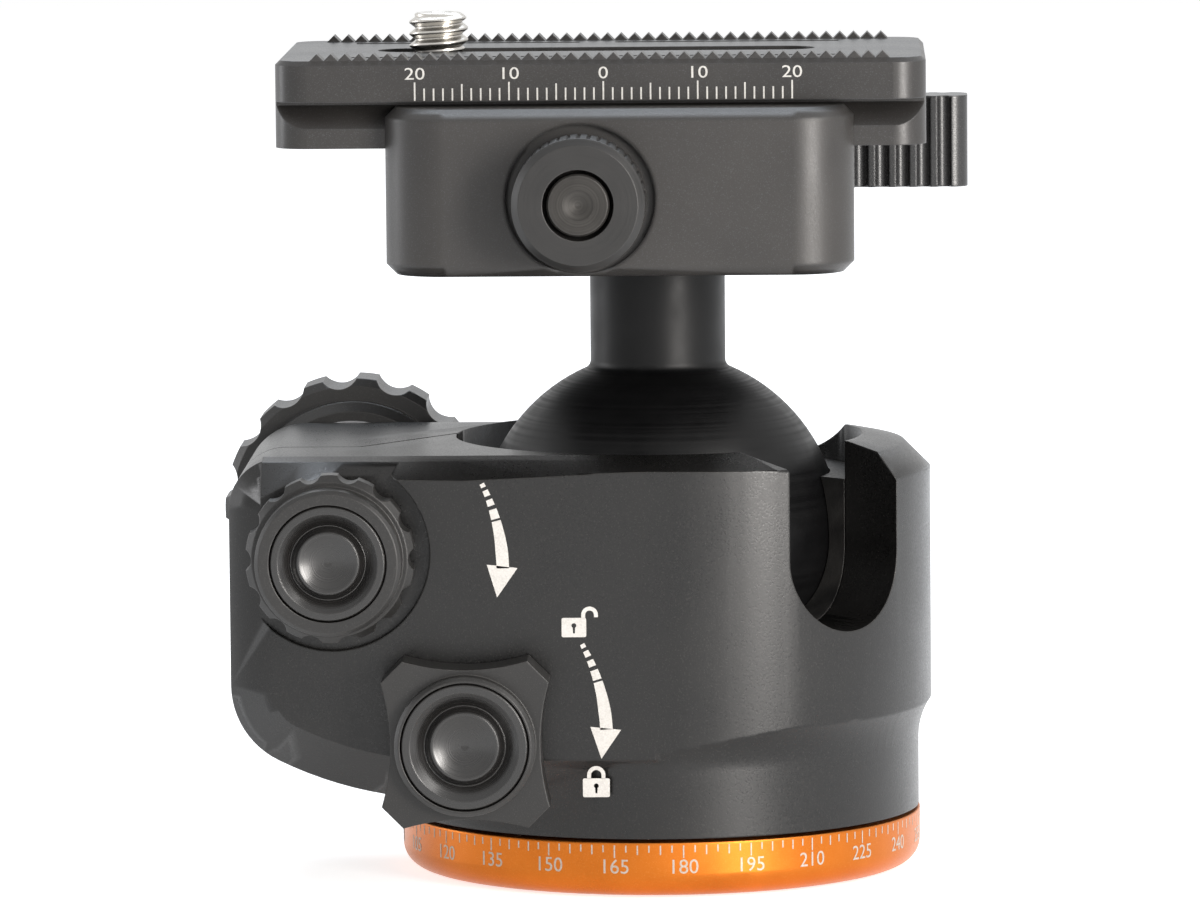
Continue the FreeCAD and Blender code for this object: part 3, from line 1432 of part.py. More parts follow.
def plate_blank():
    body = new_body("plate_blank")
    low = clamp_floor + dim.slide_gap
    half = dim.plate_half_width
    corner = dim.plate_corner
    block = pad_loop(body, "XY_Plane", [
        (corner - dim.plate_left, -half, corner),
        (dim.plate_right - corner, -half),
        (dim.plate_right, corner - half, corner),
        (dim.plate_right, half - corner),
        (dim.plate_right - corner, half, corner),
        (corner - dim.plate_left, half),
        (-dim.plate_left, half - corner, corner),
        (-dim.plate_left, corner - half),
    ], low, plate_top)
    top = plate_top.value

    def upper(edge_line):
        box = edge_line.BoundBox
        return abs(box.ZMin - top) < 1e-4 and abs(box.ZMax - top) < 1e-4

    dress(body, block, "Chamfer", upper, dim.plate_edge)
    return body


def dovetail_groove(side):
    """One long groove's cutter, which runs out through the round corners at both ends."""
    name = "front" if side < 0 else "back"
    low = clamp_floor + dim.slide_gap + dim.flange_height
    rise = dim.dovetail_rise
    high = clamp_floor + dim.slide_gap + dim.groove_height
    half = dim.plate_half_width
    run = new_body(f"groove_{name}")
    pad_loop(run, "YZ_Plane", [
        ((half + 1) * side, low - 1),
        ((half + 1) * side, high),
        ((half - rise) * side, high),
        ((half - rise) * side, low + rise),
    ], -dim.plate_left - 1, dim.plate_right + 1)
    return run


def screw_slot():
    """The stepped slot that the camera screw slides in."""
    pieces = []
    low = clamp_floor + dim.slide_gap
    ledge = low + dim.channel_depth
    for name, width, bottom, top in (("slot", dim.screw_slot_width, low - 1, plate_top + 1),
                                     ("channel", dim.channel_width, low - 1, ledge)):
        body = new_body(f"screw_{name}")
        half = width / 2
        narrow = dim.screw_slot_width / 2
        left = narrow - dim.screw_slot_left
        right = dim.screw_slot_right - narrow
        pad_loop(body, "XY_Plane", [
            (left, -half),
            (right, -half),
            (right + half, 0, half),
            (right, half, half),
            (left, half),
            (left - half, 0, half),
            (left, -half, half),
        ][1:], bottom, top)
        pieces.append(body)
    return fused("screw_slot", pieces)


def tooth_bands():
    """Two rows of sharp teeth along the long edges."""
    bands = []
    pitch = number(dim.tooth_pitch)
    count = int(number(dim.tooth_count))
    middle = (number(dim.plate_right) - number(dim.plate_left)) / 2
    start = middle - pitch * count / 2
    top = number(plate_top)
    root = top - 0.2
    outline = [FreeCAD.Vector(start, 0, root)]
    for index in range(count):
        valley = start + pitch * index
        outline.append(FreeCAD.Vector(valley, 0, top))
        outline.append(FreeCAD.Vector(valley + pitch / 2, 0, top + number(dim.tooth_height)))
    outline.append(FreeCAD.Vector(start + pitch * count, 0, top))
    outline.append(FreeCAD.Vector(start + pitch * count, 0, root))
    outline.append(outline[0])
    face = Part.Face(Part.makePolygon(outline))
    row = face.extrude(FreeCAD.Vector(0, number(dim.tooth_band_width), 0))
    outer = dim.plate_half_width - dim.tooth_band_inset
    for name, spot in (("front", -outer), ("back", outer - dim.tooth_band_width)):
        band = shaped(f"teeth_{name}", row)
        place(band, 0, spot, 0)
        bands.append(band)
    return bands


def inlay_blocks(prefix, grow, top):
    """Four long strips beside the tooth bands."""
    strips = []
    for side, sign in (("front", -1), ("back", 1)):
        for end, start in (("left", -dim.inlay_left_start), ("right", -dim.inlay_right_start)):
            strip = doc.addObject("Part::Box", f"{prefix}_{side}_{end}")
            strip.Length = number(dim.inlay_length + grow * 2)
            strip.Width = number(dim.inlay_width + grow * 2)
            bind(strip, "Length", dim.inlay_length + grow * 2)
            bind(strip, "Width", dim.inlay_width + grow * 2)
            height = as_size(top) - plate_top + dim.inlay_depth + grow
            strip.Height = number(height)
            bind(strip, "Height", height)
            depth = dim.inlay_offset * sign - dim.inlay_width / 2 - grow
            place(strip, start - grow, depth, plate_top - dim.inlay_depth - grow)
            strips.append(strip)
    return strips


def stop_screw(label, spot):
    """A small button-headed screw that hangs below the plate's end."""
    body = new_body(label)
    under = clamp_floor + dim.slide_gap
    turn(body, [
        (0, under - dim.stop_head_height),
        (dim.stop_head_radius - 0.4, under - dim.stop_head_height),
        (dim.stop_head_radius, under - 0.1),
        (dim.stop_head_radius, under),
        (dim.stop_shank_radius, under),
        (dim.stop_shank_radius, under + dim.stop_shank_length),
        (0, under + dim.stop_shank_length),
    ])
    place(body, spot, 0, 0)
    return body


def make_plate():
    under = clamp_floor + dim.slide_gap
    tools = [dovetail_groove(-1), dovetail_groove(1), screw_slot()]
    tools += inlay_blocks("inlay_groove", dim.fit_gap, plate_top + 1)
    screws = []
    for name, spot in (("left", -dim.stop_left), ("right", dim.stop_right)):
        tools.append(drill(f"stop_hole_{name}", dim.stop_shank_radius + dim.fit_gap,
                           dim.stop_shank_length + dim.side_gap + 1, (spot, 0, under - 1), None))
        screws.append(stop_screw(f"stop_screw_{name}", spot))
    body = cut("plate_cut", plate_blank(), tools)
    node("plate", fused("plate_toothed", [body] + tooth_bands()))
    strips = doc.addObject("Part::Compound", "inlay_group")
    strips.Links = inlay_blocks("inlay", 0, plate_top - 0.1)
    node("plate_inlays", strips)
    stops = doc.addObject("Part::Compound", "stop_group")
    stops.Links = screws
    node("stop_screws", stops)


def make_camera_screw():
    ledge = clamp_floor + dim.slide_gap + dim.channel_depth
    washer_top = ledge - dim.fit_gap
    washer_bottom = washer_top - dim.camera_washer_height
    washer = ring("screw_washer_body", dim.camera_neck_radius + dim.fit_gap,
                  dim.camera_head_radius, washer_bottom, washer_top)
    place(washer, -dim.camera_screw_x, 0, 0)
    node("screw_washer", washer)
    body = new_body("camera_screw_body")
    head_top = washer_bottom - dim.fit_gap
    head_bottom = head_top - dim.camera_head_height
    top = plate_top + dim.camera_screw_rise
    turn(body, [
        (0, head_bottom),
        (dim.camera_head_radius, head_bottom),
        (dim.camera_head_radius, head_top),
        (dim.camera_neck_radius, head_top),
        (dim.camera_neck_radius, plate_top),
        (dim.camera_thread_radius, plate_top),
        (dim.camera_thread_radius, top - 0.4),
        (dim.camera_thread_radius - 0.4, top),
        (0, top),
    ])
    slot_half = 0.6
    pocket_loop(body, "XY_Plane", [
        (-dim.camera_head_radius - 1, -slot_half),
        (dim.camera_head_radius + 1, -slot_half),
        (dim.camera_head_radius + 1, slot_half),
        (-dim.camera_head_radius - 1, slot_half),
    ], head_bottom - 1, head_bottom + 1.4)
    place(body, -dim.camera_screw_x, 0, 0)
    node("camera_screw", body)


def build():
    make_base_ring()
    make_tripod_bush()
    make_base_pad()
    make_pan_spindle()
    make_spindle_screws()
    make_retaining_nut()
    make_thrust_washer()
    notch = drop_notch()
    make_housing(notch, clamping_slot())
    make_lower_seat()
    make_seat_spring()
    make_socket_liner(notch)
    make_draw_bolt()
    make_end_screw()
    make_washers()
    make_main_knob()
    make_friction_knob()
    make_pan_knob()
    make_pan_screw()
    make_pan_brake()
    make_ball()
    make_clamp_body()
    make_clamp_jaw()
    make_clamp_screw()
    make_guide_pins()
    make_draw_rod()
    make_adjuster_nut()
    make_clamp_lever()
    make_plate()
    make_camera_screw()


def check_and_write():
    """Stops on any failed object or poor shape, then writes one file for each node."""
    doc.recompute()
    for thing in doc.Objects:
        if "Invalid" in thing.State or "Error" in thing.State:
            raise RuntimeError(f"{thing.Label} failed: {thing.State}")
    os.makedirs("parts", exist_ok=True)
    for name, thing in NODES.items():
        shape = thing.Shape
        if shape.isNull() or not shape.isValid():
            raise RuntimeError(f"{name} has no valid shape")
        print(f"{name}: {len(shape.Solids)} solid(s), {shape.Volume:.1f} mm3")
        shape.exportStep(f"parts/{name}.step")


build()
check_and_write()
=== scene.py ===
"""Finishes, engraved scales, signs and threads of a tripod ball head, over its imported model.

Lengths in the finishes and sub-assemblies are millimetres in the shared frame: the origin is
the middle of the base's underside, +X is to the right of the front face, +Y goes away from it
and +Z is up. The lamps and the floor have theirs in metres.
"""

import logging
import math
from dataclasses import dataclass, field
from enum import Enum
from typing import Callable, Iterable, Optional, Sequence

import bmesh
import bpy
from mathutils import Matrix, Vector

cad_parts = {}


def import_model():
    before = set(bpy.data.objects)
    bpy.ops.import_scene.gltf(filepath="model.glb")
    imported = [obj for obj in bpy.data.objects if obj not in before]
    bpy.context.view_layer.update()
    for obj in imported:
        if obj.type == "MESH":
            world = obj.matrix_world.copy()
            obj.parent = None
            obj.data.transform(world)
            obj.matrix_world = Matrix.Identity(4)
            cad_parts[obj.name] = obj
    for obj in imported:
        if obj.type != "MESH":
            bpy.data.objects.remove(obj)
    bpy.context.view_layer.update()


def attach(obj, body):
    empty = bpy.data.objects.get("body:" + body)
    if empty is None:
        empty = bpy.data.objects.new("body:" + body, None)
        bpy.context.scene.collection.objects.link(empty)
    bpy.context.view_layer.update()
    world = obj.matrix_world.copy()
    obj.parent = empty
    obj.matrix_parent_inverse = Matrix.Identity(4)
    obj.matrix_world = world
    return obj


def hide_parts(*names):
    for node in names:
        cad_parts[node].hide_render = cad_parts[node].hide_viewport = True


LOG = logging.getLogger("ball_head")
MM = 0.001
PAN_AXIS = (0.0, 0.0, 0.0)
LOCK_AXIS = (-34.0, 0.0, 36.9)
PAN_KNOB_AXIS = (-19.9, 0.0, 17.4)

Point2 = tuple[float, float]
Colour = tuple[float, float, float]
Socket = bpy.types.NodeSocket


def grey(level: float) -> Colour:
    """A neutral colour."""
    return (level, level, level)


class Axis(Enum):
    """The axis that a turned piece was spun on."""

    X = (1.0, 0.0, 0.0)
    Y = (0.0, 1.0, 0.0)
    Z = (0.0, 0.0, 1.0)


class Tick(Enum):
    """The rank of a mark on a scale."""

    SHORT = "short"
    MIDDLE = "middle"
    LONG = "long"


# Finishes


class Nodes:
    """A node tree, with short ways to add its nodes and join them."""

    def __init__(self, owner: bpy.types.ID) -> None:
        """Empties the owner's tree.

        Args:
            owner: The material or the world.
        """
        owner.use_nodes = True
        self.tree = owner.node_tree
        self.tree.nodes.clear()

    def add(self, kind: str, **settings: object) -> bpy.types.Node:
        """Adds a node.

        Args:
            kind: The node's type.
            **settings: Its attributes.

        Returns:
            The new node.
        """
        node = self.tree.nodes.new(kind)
        for key, value in settings.items():
            setattr(node, key, value)
        return node

    def plug(self, node: bpy.types.Node, entry: object, value: object) -> None:
        """Joins a socket to an input, or writes a plain value on it.

        Args:
            node: The node that takes the value.
            entry: The input's name or number.
            value: A socket, or what to write.
        """
        if isinstance(value, bpy.types.NodeSocket):
            self.tree.links.new(value, node.inputs[entry])
        else:
            node.inputs[entry].default_value = value

    def sum(self, kind: str, first: object, second: object) -> Socket:
        """Adds a Math node.

        Args:
            kind: The operation.
            first: Its first value.
            second: Its second value.

        Returns:
            The result.
        """
        node = self.add("ShaderNodeMath", operation=kind)
        for entry, value in enumerate((first, second)):
            self.plug(node, entry, value)
        return node.outputs[0]

    def spread(self, value: Socket, low: float, high: float, start: float = 0.3,
               end: float = 0.7) -> Socket:
        """Maps the part of a value between start and end to low and high.

        Args:
            value: The value.
            low: The result at start.
            high: The result at end.
            start: The lower end of the part.
            end: The upper end of the part.

        Returns:
            The mapped value.
        """
        node = self.add("ShaderNodeMapRange")
        for entry, number in ((0, value), (1, start), (2, end), (3, low), (4, high)):
            self.plug(node, entry, number)
        return node.outputs[0]


class Graph(Nodes):
    """The node tree of one finish, which ends in one Principled shader."""

    def __init__(self, name: str) -> None:
        """Makes the material and its shader.

        Args:
            name: The material's name.
        """
        self.material = bpy.data.materials.new(name)
        super().__init__(self.material)
        self.shader = self.add("ShaderNodeBsdfPrincipled")
        self.plug(self.add("ShaderNodeOutputMaterial"), "Surface", self.shader.outputs["BSDF"])
        self.place = self.add("ShaderNodeTexCoord").outputs["Object"]

    def noise(self, size: float, detail: float = 2.0) -> Socket:
        """Adds noise whose grains are about one size.

        Args:
            size: The grain in millimetres.
            detail: How many finer layers it has.

        Returns:
            The noise, about 0 to 1.
        """
        node = self.add("ShaderNodeTexNoise")
        self.plug(node, "Vector", self.place)
        self.plug(node, "Scale", 1.0 / (size * MM))
        self.plug(node, "Detail", detail)
        return node.outputs["Fac"]

    def blend(self, share: Socket, first: object, second: object) -> Socket:
        """Mixes two colours.

        Args:
            share: How much of the second.
            first: The first colour.
            second: The second colour.

        Returns:
            The mixed colour.
        """
        node = self.add("ShaderNodeMix", data_type="RGBA")
        self.plug(node, "Factor", share)
        for entry, value in ((6, first), (7, second)):
            self.plug(node, entry, (*value, 1.0) if isinstance(value, tuple) else value)
        return node.outputs[2]

    def round_edges(self, radius: float) -> Socket:
        """Gives a normal that is rounded at the edges.

        Args:
            radius: The edge's radius in millimetres.

        Returns:
            The normal.
        """
        node = self.add("ShaderNodeBevel", samples=6)
        self.plug(node, "Radius", radius * MM)
        return node.outputs[0]

    def edges(self, rounded: Socket, gain: float) -> Socket:
        """Finds the edges, where the rounded normal leaves the face's own.

        Args:
            rounded: The rounded normal.
            gain: How fast the mask rises.

        Returns:
            The mask, 0 on faces and up to 1 on edges.
        """
        face = self.add("ShaderNodeNewGeometry").outputs["Normal"]
        dot = self.add("ShaderNodeVectorMath", operation="DOT_PRODUCT")
        self.plug(dot, 0, rounded)
        self.plug(dot, 1, face)
        lean = self.sum("SUBTRACT", 1.0, dot.outputs["Value"])
        node = self.add("ShaderNodeMath", operation="MULTIPLY", use_clamp=True)
        self.plug(node, 0, lean)
        self.plug(node, 1, gain)
        return node.outputs[0]

    def bump(self, height: Socket, depth: float, strength: float,
             under: Optional[Socket] = None) -> Socket:
        """Turns a height into a normal.

        Args:
            height: The height, 0 to 1.
            depth: What 1 stands for, in millimetres.
            strength: How much of it is used.
            under: The normal that it lies on.

        Returns:
            The normal.
        """
        node = self.add("ShaderNodeBump")
        self.plug(node, "Height", height)
        self.plug(node, "Distance", depth * MM)
        self.plug(node, "Strength", strength)
        if under is not None:
            self.plug(node, "Normal", under)
        return node.outputs[0]

    def rings(self, centre: Sequence[float], axis: Axis, pitch: float) -> Socket:
        """Fine rings about an axis, as a lathe tool leaves them.

        Args:
            centre: A point of the axis, in millimetres.
            axis: Its direction.
            pitch: The mean distance of the rings in millimetres.

        Returns:
            The rings, 0 to 1.
        """
        shift = self.add("ShaderNodeVectorMath", operation="SUBTRACT")
        self.plug(shift, 0, self.place)
        self.plug(shift, 1, [c * MM for c in centre])
        flat = self.add("ShaderNodeVectorMath", operation="MULTIPLY")
        self.plug(flat, 0, shift.outputs[0])
        self.plug(flat, 1, [1.0 - part for part in axis.value])
        reach = self.add("ShaderNodeVectorMath", operation="LENGTH")
        self.plug(reach, 0, flat.outputs[0])
        node = self.add("ShaderNodeTexNoise", noise_dimensions="1D")
        self.plug(node, "W", reach.outputs["Value"])
        self.plug(node, "Scale", 1.0 / (pitch * MM))
        self.plug(node, "Detail", 3.0)
        return node.outputs["Fac"]

    def set(self, **values: object) -> bpy.types.Material:
        """Writes or joins the shader's own inputs.

        Args:
            **values: The inputs, with _ for a space.

        Returns:
            The finished material.
        """
        for key, value in values.items():
            if isinstance(value, tuple) and len(value) == 3:
                value = (*value, 1.0)
            self.plug(self.shader, key.replace("_", " "), value)
        return self.material


@dataclass(frozen=True)
class BlastedAnodise:
    """Bead-blasted aluminium under a dyed anodic layer, with painted glints in its grain and lighter
    edges: partly wear, partly a painted edge highlight.
    """

    name: str
    dark: Colour
    light: Colour
    edge: Colour
    grain: float = 0.22
    depth: float = 0.012
    rough: float = 0.44
    gloss: float = 0.42
    metal: float = 0.0
    edge_radius: float = 0.22
    wear_and_highlight_gain: float = 3.0
    cloud: float = 9.0
    glint_share: float = 0.3

    def make(self) -> bpy.types.Material:
        """Builds the material."""
        graph = Graph(self.name)
        grain = graph.noise(self.grain, 2.0)
        cloud = graph.noise(self.cloud, 3.0)
        # Painted glints: small flecks mixed toward the edge colour stand in for the sparkle of light
        # on the blasted grain.
        painted_glint_spots = graph.spread(graph.noise(self.grain * 0.8, 1.0), 0.0, 1.0, 0.58, 0.74)
        rounded = graph.round_edges(self.edge_radius)
        edge = graph.edges(rounded, self.wear_and_highlight_gain)
        # Edges mixed toward the edge colour: partly wear, partly a painted edge highlight.
        wear_and_edge_highlight = graph.sum("MULTIPLY", edge, graph.spread(graph.noise(1.6, 4.0), 0.25, 1.0))
        body = graph.blend(graph.spread(cloud, 0.0, 1.0), self.dark, self.light)
        body_with_glints = graph.blend(graph.sum("MULTIPLY", painted_glint_spots, self.glint_share), body, self.edge)
        return graph.set(
            Base_Color=graph.blend(wear_and_edge_highlight, body_with_glints, self.edge),
            Metallic=self.metal,
            Roughness=graph.sum("ADD", graph.spread(grain, -0.06, 0.07),
                                graph.spread(cloud, self.rough - 0.03, self.rough + 0.03)),
            Specular_IOR_Level=self.gloss,
            Normal=graph.bump(grain, self.depth, 1.0, rounded),
        )


@dataclass(frozen=True)
class TurnedMetal:
    """Metal turned on a lathe, with its tool rings and edges mixed toward an edge colour: wear, and a
    painted edge highlight where that colour is lighter than the body.
    """

    name: str
    colour: Colour
    shade: Colour
    centre: tuple[float, float, float]
    axis: Axis
    pitch: float = 0.18
    depth: float = 0.006
    rough: float = 0.3
    metal: float = 1.0
    gloss: float = 0.5
    edge_radius: float = 0.15
    edge_gain: float = 2.0
    edge: Colour = grey(0.3)

    def make(self) -> bpy.types.Material:
        """Builds the material."""
        graph = Graph(self.name)
        rings = graph.rings(self.centre, self.axis, self.pitch)
        stain = graph.noise(3.0, 4.0)
        rounded = graph.round_edges(self.edge_radius)
        # Rounded edges mixed toward the edge colour, as wear; on the parts whose edge colour is
        # lighter than their body it is also a painted edge highlight.
        mask = graph.edges(rounded, self.edge_gain)
        share = graph.sum("MULTIPLY", graph.spread(rings, 0.0, 1.0), graph.spread(stain, 0.5, 1.0))
        body = graph.blend(share, self.colour, self.shade)
        return graph.set(
            Base_Color=graph.blend(mask, body, self.edge),
            Metallic=self.metal,
            Roughness=graph.sum("ADD", graph.spread(rings, -0.05, 0.08),
                                graph.spread(stain, self.rough - 0.04, self.rough + 0.05)),
            Specular_IOR_Level=self.gloss,
            Normal=graph.bump(rings, self.depth, 0.8, rounded),
        )


@dataclass(frozen=True)
class DrawnSteel:
    """Wire or pins drawn along their length, with faint streaks."""

    name: str
    colour: Colour
    rough: float = 0.28

    def make(self) -> bpy.types.Material:
        """Builds the material."""
        graph = Graph(self.name)
        streak = graph.noise(0.35, 3.0)
        tarnish = graph.noise(2.5, 4.0)
        shade = tuple(part * 0.7 for part in self.colour)
        return graph.set(
            Base_Color=graph.blend(graph.spread(tarnish, 0.0, 1.0), self.colour, shade),
            Metallic=1.0,
            Roughness=graph.spread(streak, self.rough - 0.06, self.rough + 0.1),
            Normal=graph.bump(streak, 0.004, 0.6, graph.round_edges(0.08)),
        )


@dataclass(frozen=True)
class Moulded:
    """Rubber or acetal, matt, with a fine moulded skin and edges lightened toward the scuff colour:
    partly scuffs, partly a painted edge highlight.
    """

    name: str
    colour: Colour
    scuff_and_sheen: Colour
    rough: float = 0.6
    skin: float = 0.3
    depth: float = 0.02

    def make(self) -> bpy.types.Material:
        """Builds the material."""
        graph = Graph(self.name)
        skin = graph.noise(self.skin, 3.0)
        dust = graph.noise(4.0, 4.0)
        rounded = graph.round_edges(0.15)
        # Edges mixed toward the scuff colour: partly scuffing, partly a painted edge highlight.
        mask = graph.sum("MULTIPLY", graph.edges(rounded, 2.5), graph.spread(dust, 0.3, 1.0))
        body = graph.blend(graph.spread(dust, 0.0, 0.35), self.colour, self.scuff_and_sheen)
        return graph.set(
            Base_Color=graph.blend(mask, body, self.scuff_and_sheen),
            Roughness=graph.spread(skin, self.rough - 0.08, self.rough + 0.1),
            Specular_IOR_Level=0.35,
            Normal=graph.bump(skin, self.depth, 0.7, rounded),
        )


@dataclass(frozen=True)
class Engraving:
    """The bare, slightly burnt metal of a laser mark or a printed sign."""

    name: str
    colour: Colour
    shade: Colour
    rough: float = 0.5
    metal: float = 0.0

    def make(self) -> bpy.types.Material:
        """Builds the material."""
        graph = Graph(self.name)
        fleck = graph.noise(0.18, 3.0)
        patch = graph.noise(2.0, 3.0)
        share = graph.sum("MULTIPLY", graph.spread(fleck, 0.0, 0.8), graph.spread(patch, 0.4, 1.0))
        return graph.set(
            Base_Color=graph.blend(share, self.colour, self.shade),
            Metallic=self.metal,
            Roughness=graph.spread(fleck, self.rough - 0.1, self.rough + 0.1),
            Specular_IOR_Level=0.3,
            Normal=graph.bump(fleck, 0.006, 0.6),
        )


# Meshes


def baked(thing: bpy.types.Object) -> bpy.types.Mesh:
    """Works out an object's modifiers or fill.

    Args:
        thing: The object, linked to the scene.

    Returns:
        The result, as a mesh of its own.
    """
    bpy.context.view_layer.update()
    return bpy.data.meshes.new_from_object(
        thing.evaluated_get(bpy.context.evaluated_depsgraph_get()))


def place_mesh(name: str, mesh: bmesh.types.BMesh) -> bpy.types.Object:
    """Links a bmesh to the scene as a new object.

    Args:
        name: The object's name.
        mesh: Its shape in metres; it is freed.

    Returns:
        The object.
    """
    data = bpy.data.meshes.new(name)
    mesh.to_mesh(data)
    mesh.free()
    thing = bpy.data.objects.new(name, data)
    bpy.context.scene.collection.objects.link(thing)
    return thing


def add_piece(name: str, mesh: bmesh.types.BMesh, finish: bpy.types.Material, body: str,
              smooth: bool = False) -> bpy.types.Object:
    """Turns a bmesh into a piece that rides on a body.

    Args:
        name: The piece's name.
        mesh: Its shape in metres; it is freed.
        finish: Its material.
        body: The body that carries it.
        smooth: Whether its faces are shaded smooth.

    Returns:
        The new object.
    """
    bmesh.ops.recalc_face_normals(mesh, faces=mesh.faces)
    thing = place_mesh(name, mesh)
    thing.data.materials.append(finish)
    for face in thing.data.polygons:
        face.use_smooth = smooth
    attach(thing, body)
    LOG.info("%s: %d faces on %s", name, len(thing.data.polygons), body)
    return thing


def dress(nodes: Iterable[str], finish: bpy.types.Material) -> None:
    """Gives CAD nodes their finish.

    Args:
        nodes: The nodes' names.
        finish: The material.
    """
    for name in nodes:
        data = bpy.data.objects[name].data
        data.materials.clear()
        data.materials.append(finish)
        LOG.info("%s: %s", name, finish.name)


def closed_hull(rings: Sequence[Sequence[Vector]]) -> bmesh.types.BMesh:
    """Joins a row of like outlines into one closed solid.

    Args:
        rings: The outlines in millimetres, each with as many points.

    Returns:
        The solid in metres.
    """
    mesh = bmesh.new()
    grid = [[mesh.verts.new(spot * MM) for spot in ring] for ring in rings]
    count = len(grid[0])
    for near, far in zip(grid, grid[1:]):
        for index in range(count):
            after = (index + 1) % count
            mesh.faces.new((near[index], near[after], far[after], far[index]))
    mesh.faces.new(grid[0][::-1])
    mesh.faces.new(grid[-1])
    return mesh


def rod(start: Vector, end: Vector, radius: float, sides: int = 96) -> bmesh.types.BMesh:
    """A round cutter between two points.

    Args:
        start: The middle of one end, in millimetres.
        end: The middle of the other end.
        radius: Its radius.
        sides: How many flats it has.

    Returns:
        The cutter in metres.
    """
    way = (end - start).normalized()
    first = way.orthogonal().normalized()
    second = way.cross(first)
    turns = [2.0 * math.pi * side / sides for side in range(sides)]
    return closed_hull([[middle + (first * math.cos(turn) + second * math.sin(turn)) * radius
                         for turn in turns] for middle in (start, end)])


def seat_cutter(axis: Sequence[float], front: float, radius: float,
                depth: float) -> bmesh.types.BMesh:
    """A round cutter that sinks a seat into a front face.

    Args:
        axis: A point of the seat's axis, which runs along y.
        front: The face's distance in front of the pan axis.
        radius: The seat's radius.
        depth: How deep it is.

    Returns:
        The cutter in metres.
    """
    overrun = 5.0
    centre = Vector((axis[0], -front, axis[2]))
    return rod(centre + Vector((0.0, depth, 0.0)), centre - Vector((0.0, overrun, 0.0)), radius)


def carve(node: str, name: str, steps: Sequence[tuple[str, bmesh.types.BMesh]],
          finish: bpy.types.Material, body: str) -> None:
    """Makes a piece from a CAD node's shape, with solids added to it or taken from it.

    Flat neighbouring faces are joined, and each corner's normal follows the largest face
    that meets there, so that the flats are shaded flat up to the rounds beside them.

    Args:
        node: The node, which the piece replaces.
        name: The new piece's name.
        steps: UNION or DIFFERENCE, each with its solid; the solids are freed.
        finish: The piece's material.
        body: The body that carries it.
    """
    weld = 1e-7
    flat_within = math.radians(0.25)
    sharp_above = math.radians(28.0)
    solid = bmesh.new()
    solid.from_mesh(bpy.data.objects[node].data)
    bmesh.ops.remove_doubles(solid, verts=solid.verts, dist=weld)
    piece = place_mesh(name, solid)
    tools = []
    for action, shape in steps:
        bmesh.ops.recalc_face_normals(shape, faces=shape.faces)
        tools.append(place_mesh("tool", shape))
        step = piece.modifiers.new("carve", "BOOLEAN")
        step.operation, step.solver, step.object = action, "EXACT", tools[-1]
    data = baked(piece)
    piece.modifiers.clear()
    for tool in tools:
        bpy.data.objects.remove(tool)
    solid = bmesh.new()
    solid.from_mesh(data)
    bmesh.ops.dissolve_limit(solid, angle_limit=flat_within, verts=solid.verts,
                             edges=solid.edges)
    solid.to_mesh(data)
    solid.free()
    data.shade_smooth()
    data.set_sharp_from_angle(angle=sharp_above)
    piece.data = data
    level = piece.modifiers.new("level flats", "WEIGHTED_NORMAL")
    level.mode, level.weight, level.keep_sharp = "FACE_AREA", 100, True
    piece.data = baked(piece)
    piece.modifiers.clear()
    piece.data.materials.clear()
    piece.data.materials.append(finish)
    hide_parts(node)
    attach(piece, body)
    LOG.info("%s: %d faces stand for %s", name, len(piece.data.polygons), node)


def outline_mesh(loops: Sequence[Sequence[Point2]], thickness: float) -> bmesh.types.BMesh:
    """Fills closed outlines, with holes where one lies in another, to a thin plate.

    Args:
        loops: The outlines in millimetres, in the plate's own plane.
        thickness: The plate's thickness in millimetres.

    Returns:
        The plate in millimetres, in x and y, with its front at z 0.
    """
    curve = bpy.data.curves.new("outline", "CURVE")
    curve.dimensions = "2D"
    curve.fill_mode = "BOTH"
    for loop in loops:
        spline = curve.splines.new("POLY")
        spline.points.add(len(loop) - 1)
        for spot, (across, up) in zip(spline.points, loop):
            spot.co = (across, up, 0.0, 1.0)
        spline.use_cyclic_u = True
    return filled(curve, thickness)


def filled(curve: bpy.types.Curve, thickness: float) -> bmesh.types.BMesh:
    """Turns a filled curve or text into a closed plate.

    Args:
        curve: The curve data; it is removed.
        thickness: The plate's thickness in millimetres.

    Returns:
        The plate, with its front at z 0.
    """
    holder = bpy.data.objects.new("outline", curve)
    bpy.context.scene.collection.objects.link(holder)
    data = baked(holder)
    mesh = bmesh.new()
    mesh.from_mesh(data)
    bmesh.ops.remove_doubles(mesh, verts=mesh.verts, dist=1e-5)
    front = list(mesh.faces)
    made = bmesh.ops.extrude_face_region(mesh, geom=front)
    moved = [part for part in made["geom"] if isinstance(part, bmesh.types.BMVert)]
    bmesh.ops.translate(mesh, verts=moved, vec=(0.0, 0.0, -thickness))
    bpy.data.objects.remove(holder)
    bpy.data.meshes.remove(data)
    return mesh


def text_mesh(words: str, height: float, thickness: float) -> bmesh.types.BMesh:
    """Makes a numeral, centred on its middle.

    Args:
        words: The digits.
        height: Their height in millimetres.
        thickness: The plate's thickness in millimetres.

    Returns:
        The plate, in x and y.
    """
    curve = bpy.data.curves.new("numeral", "FONT")
    curve.body = words
    curve.align_x = "CENTER"
    curve.align_y = "CENTER"
    curve.resolution_u = 4
    cap_share = 0.69
    curve.size = height / cap_share
    return filled(curve, thickness)


def bar(across: float, low: float, high: float, width: float) -> list[Point2]:
    """The outline of one upright mark.

    Args:
        across: Its middle.
        low: Its lower end.
        high: Its upper end.
        width: Its width.

    Returns:
        Four corners.
    """
    half = width / 2
    return [(across - half, low), (across + half, low), (across + half, high),
            (across - half, high)]


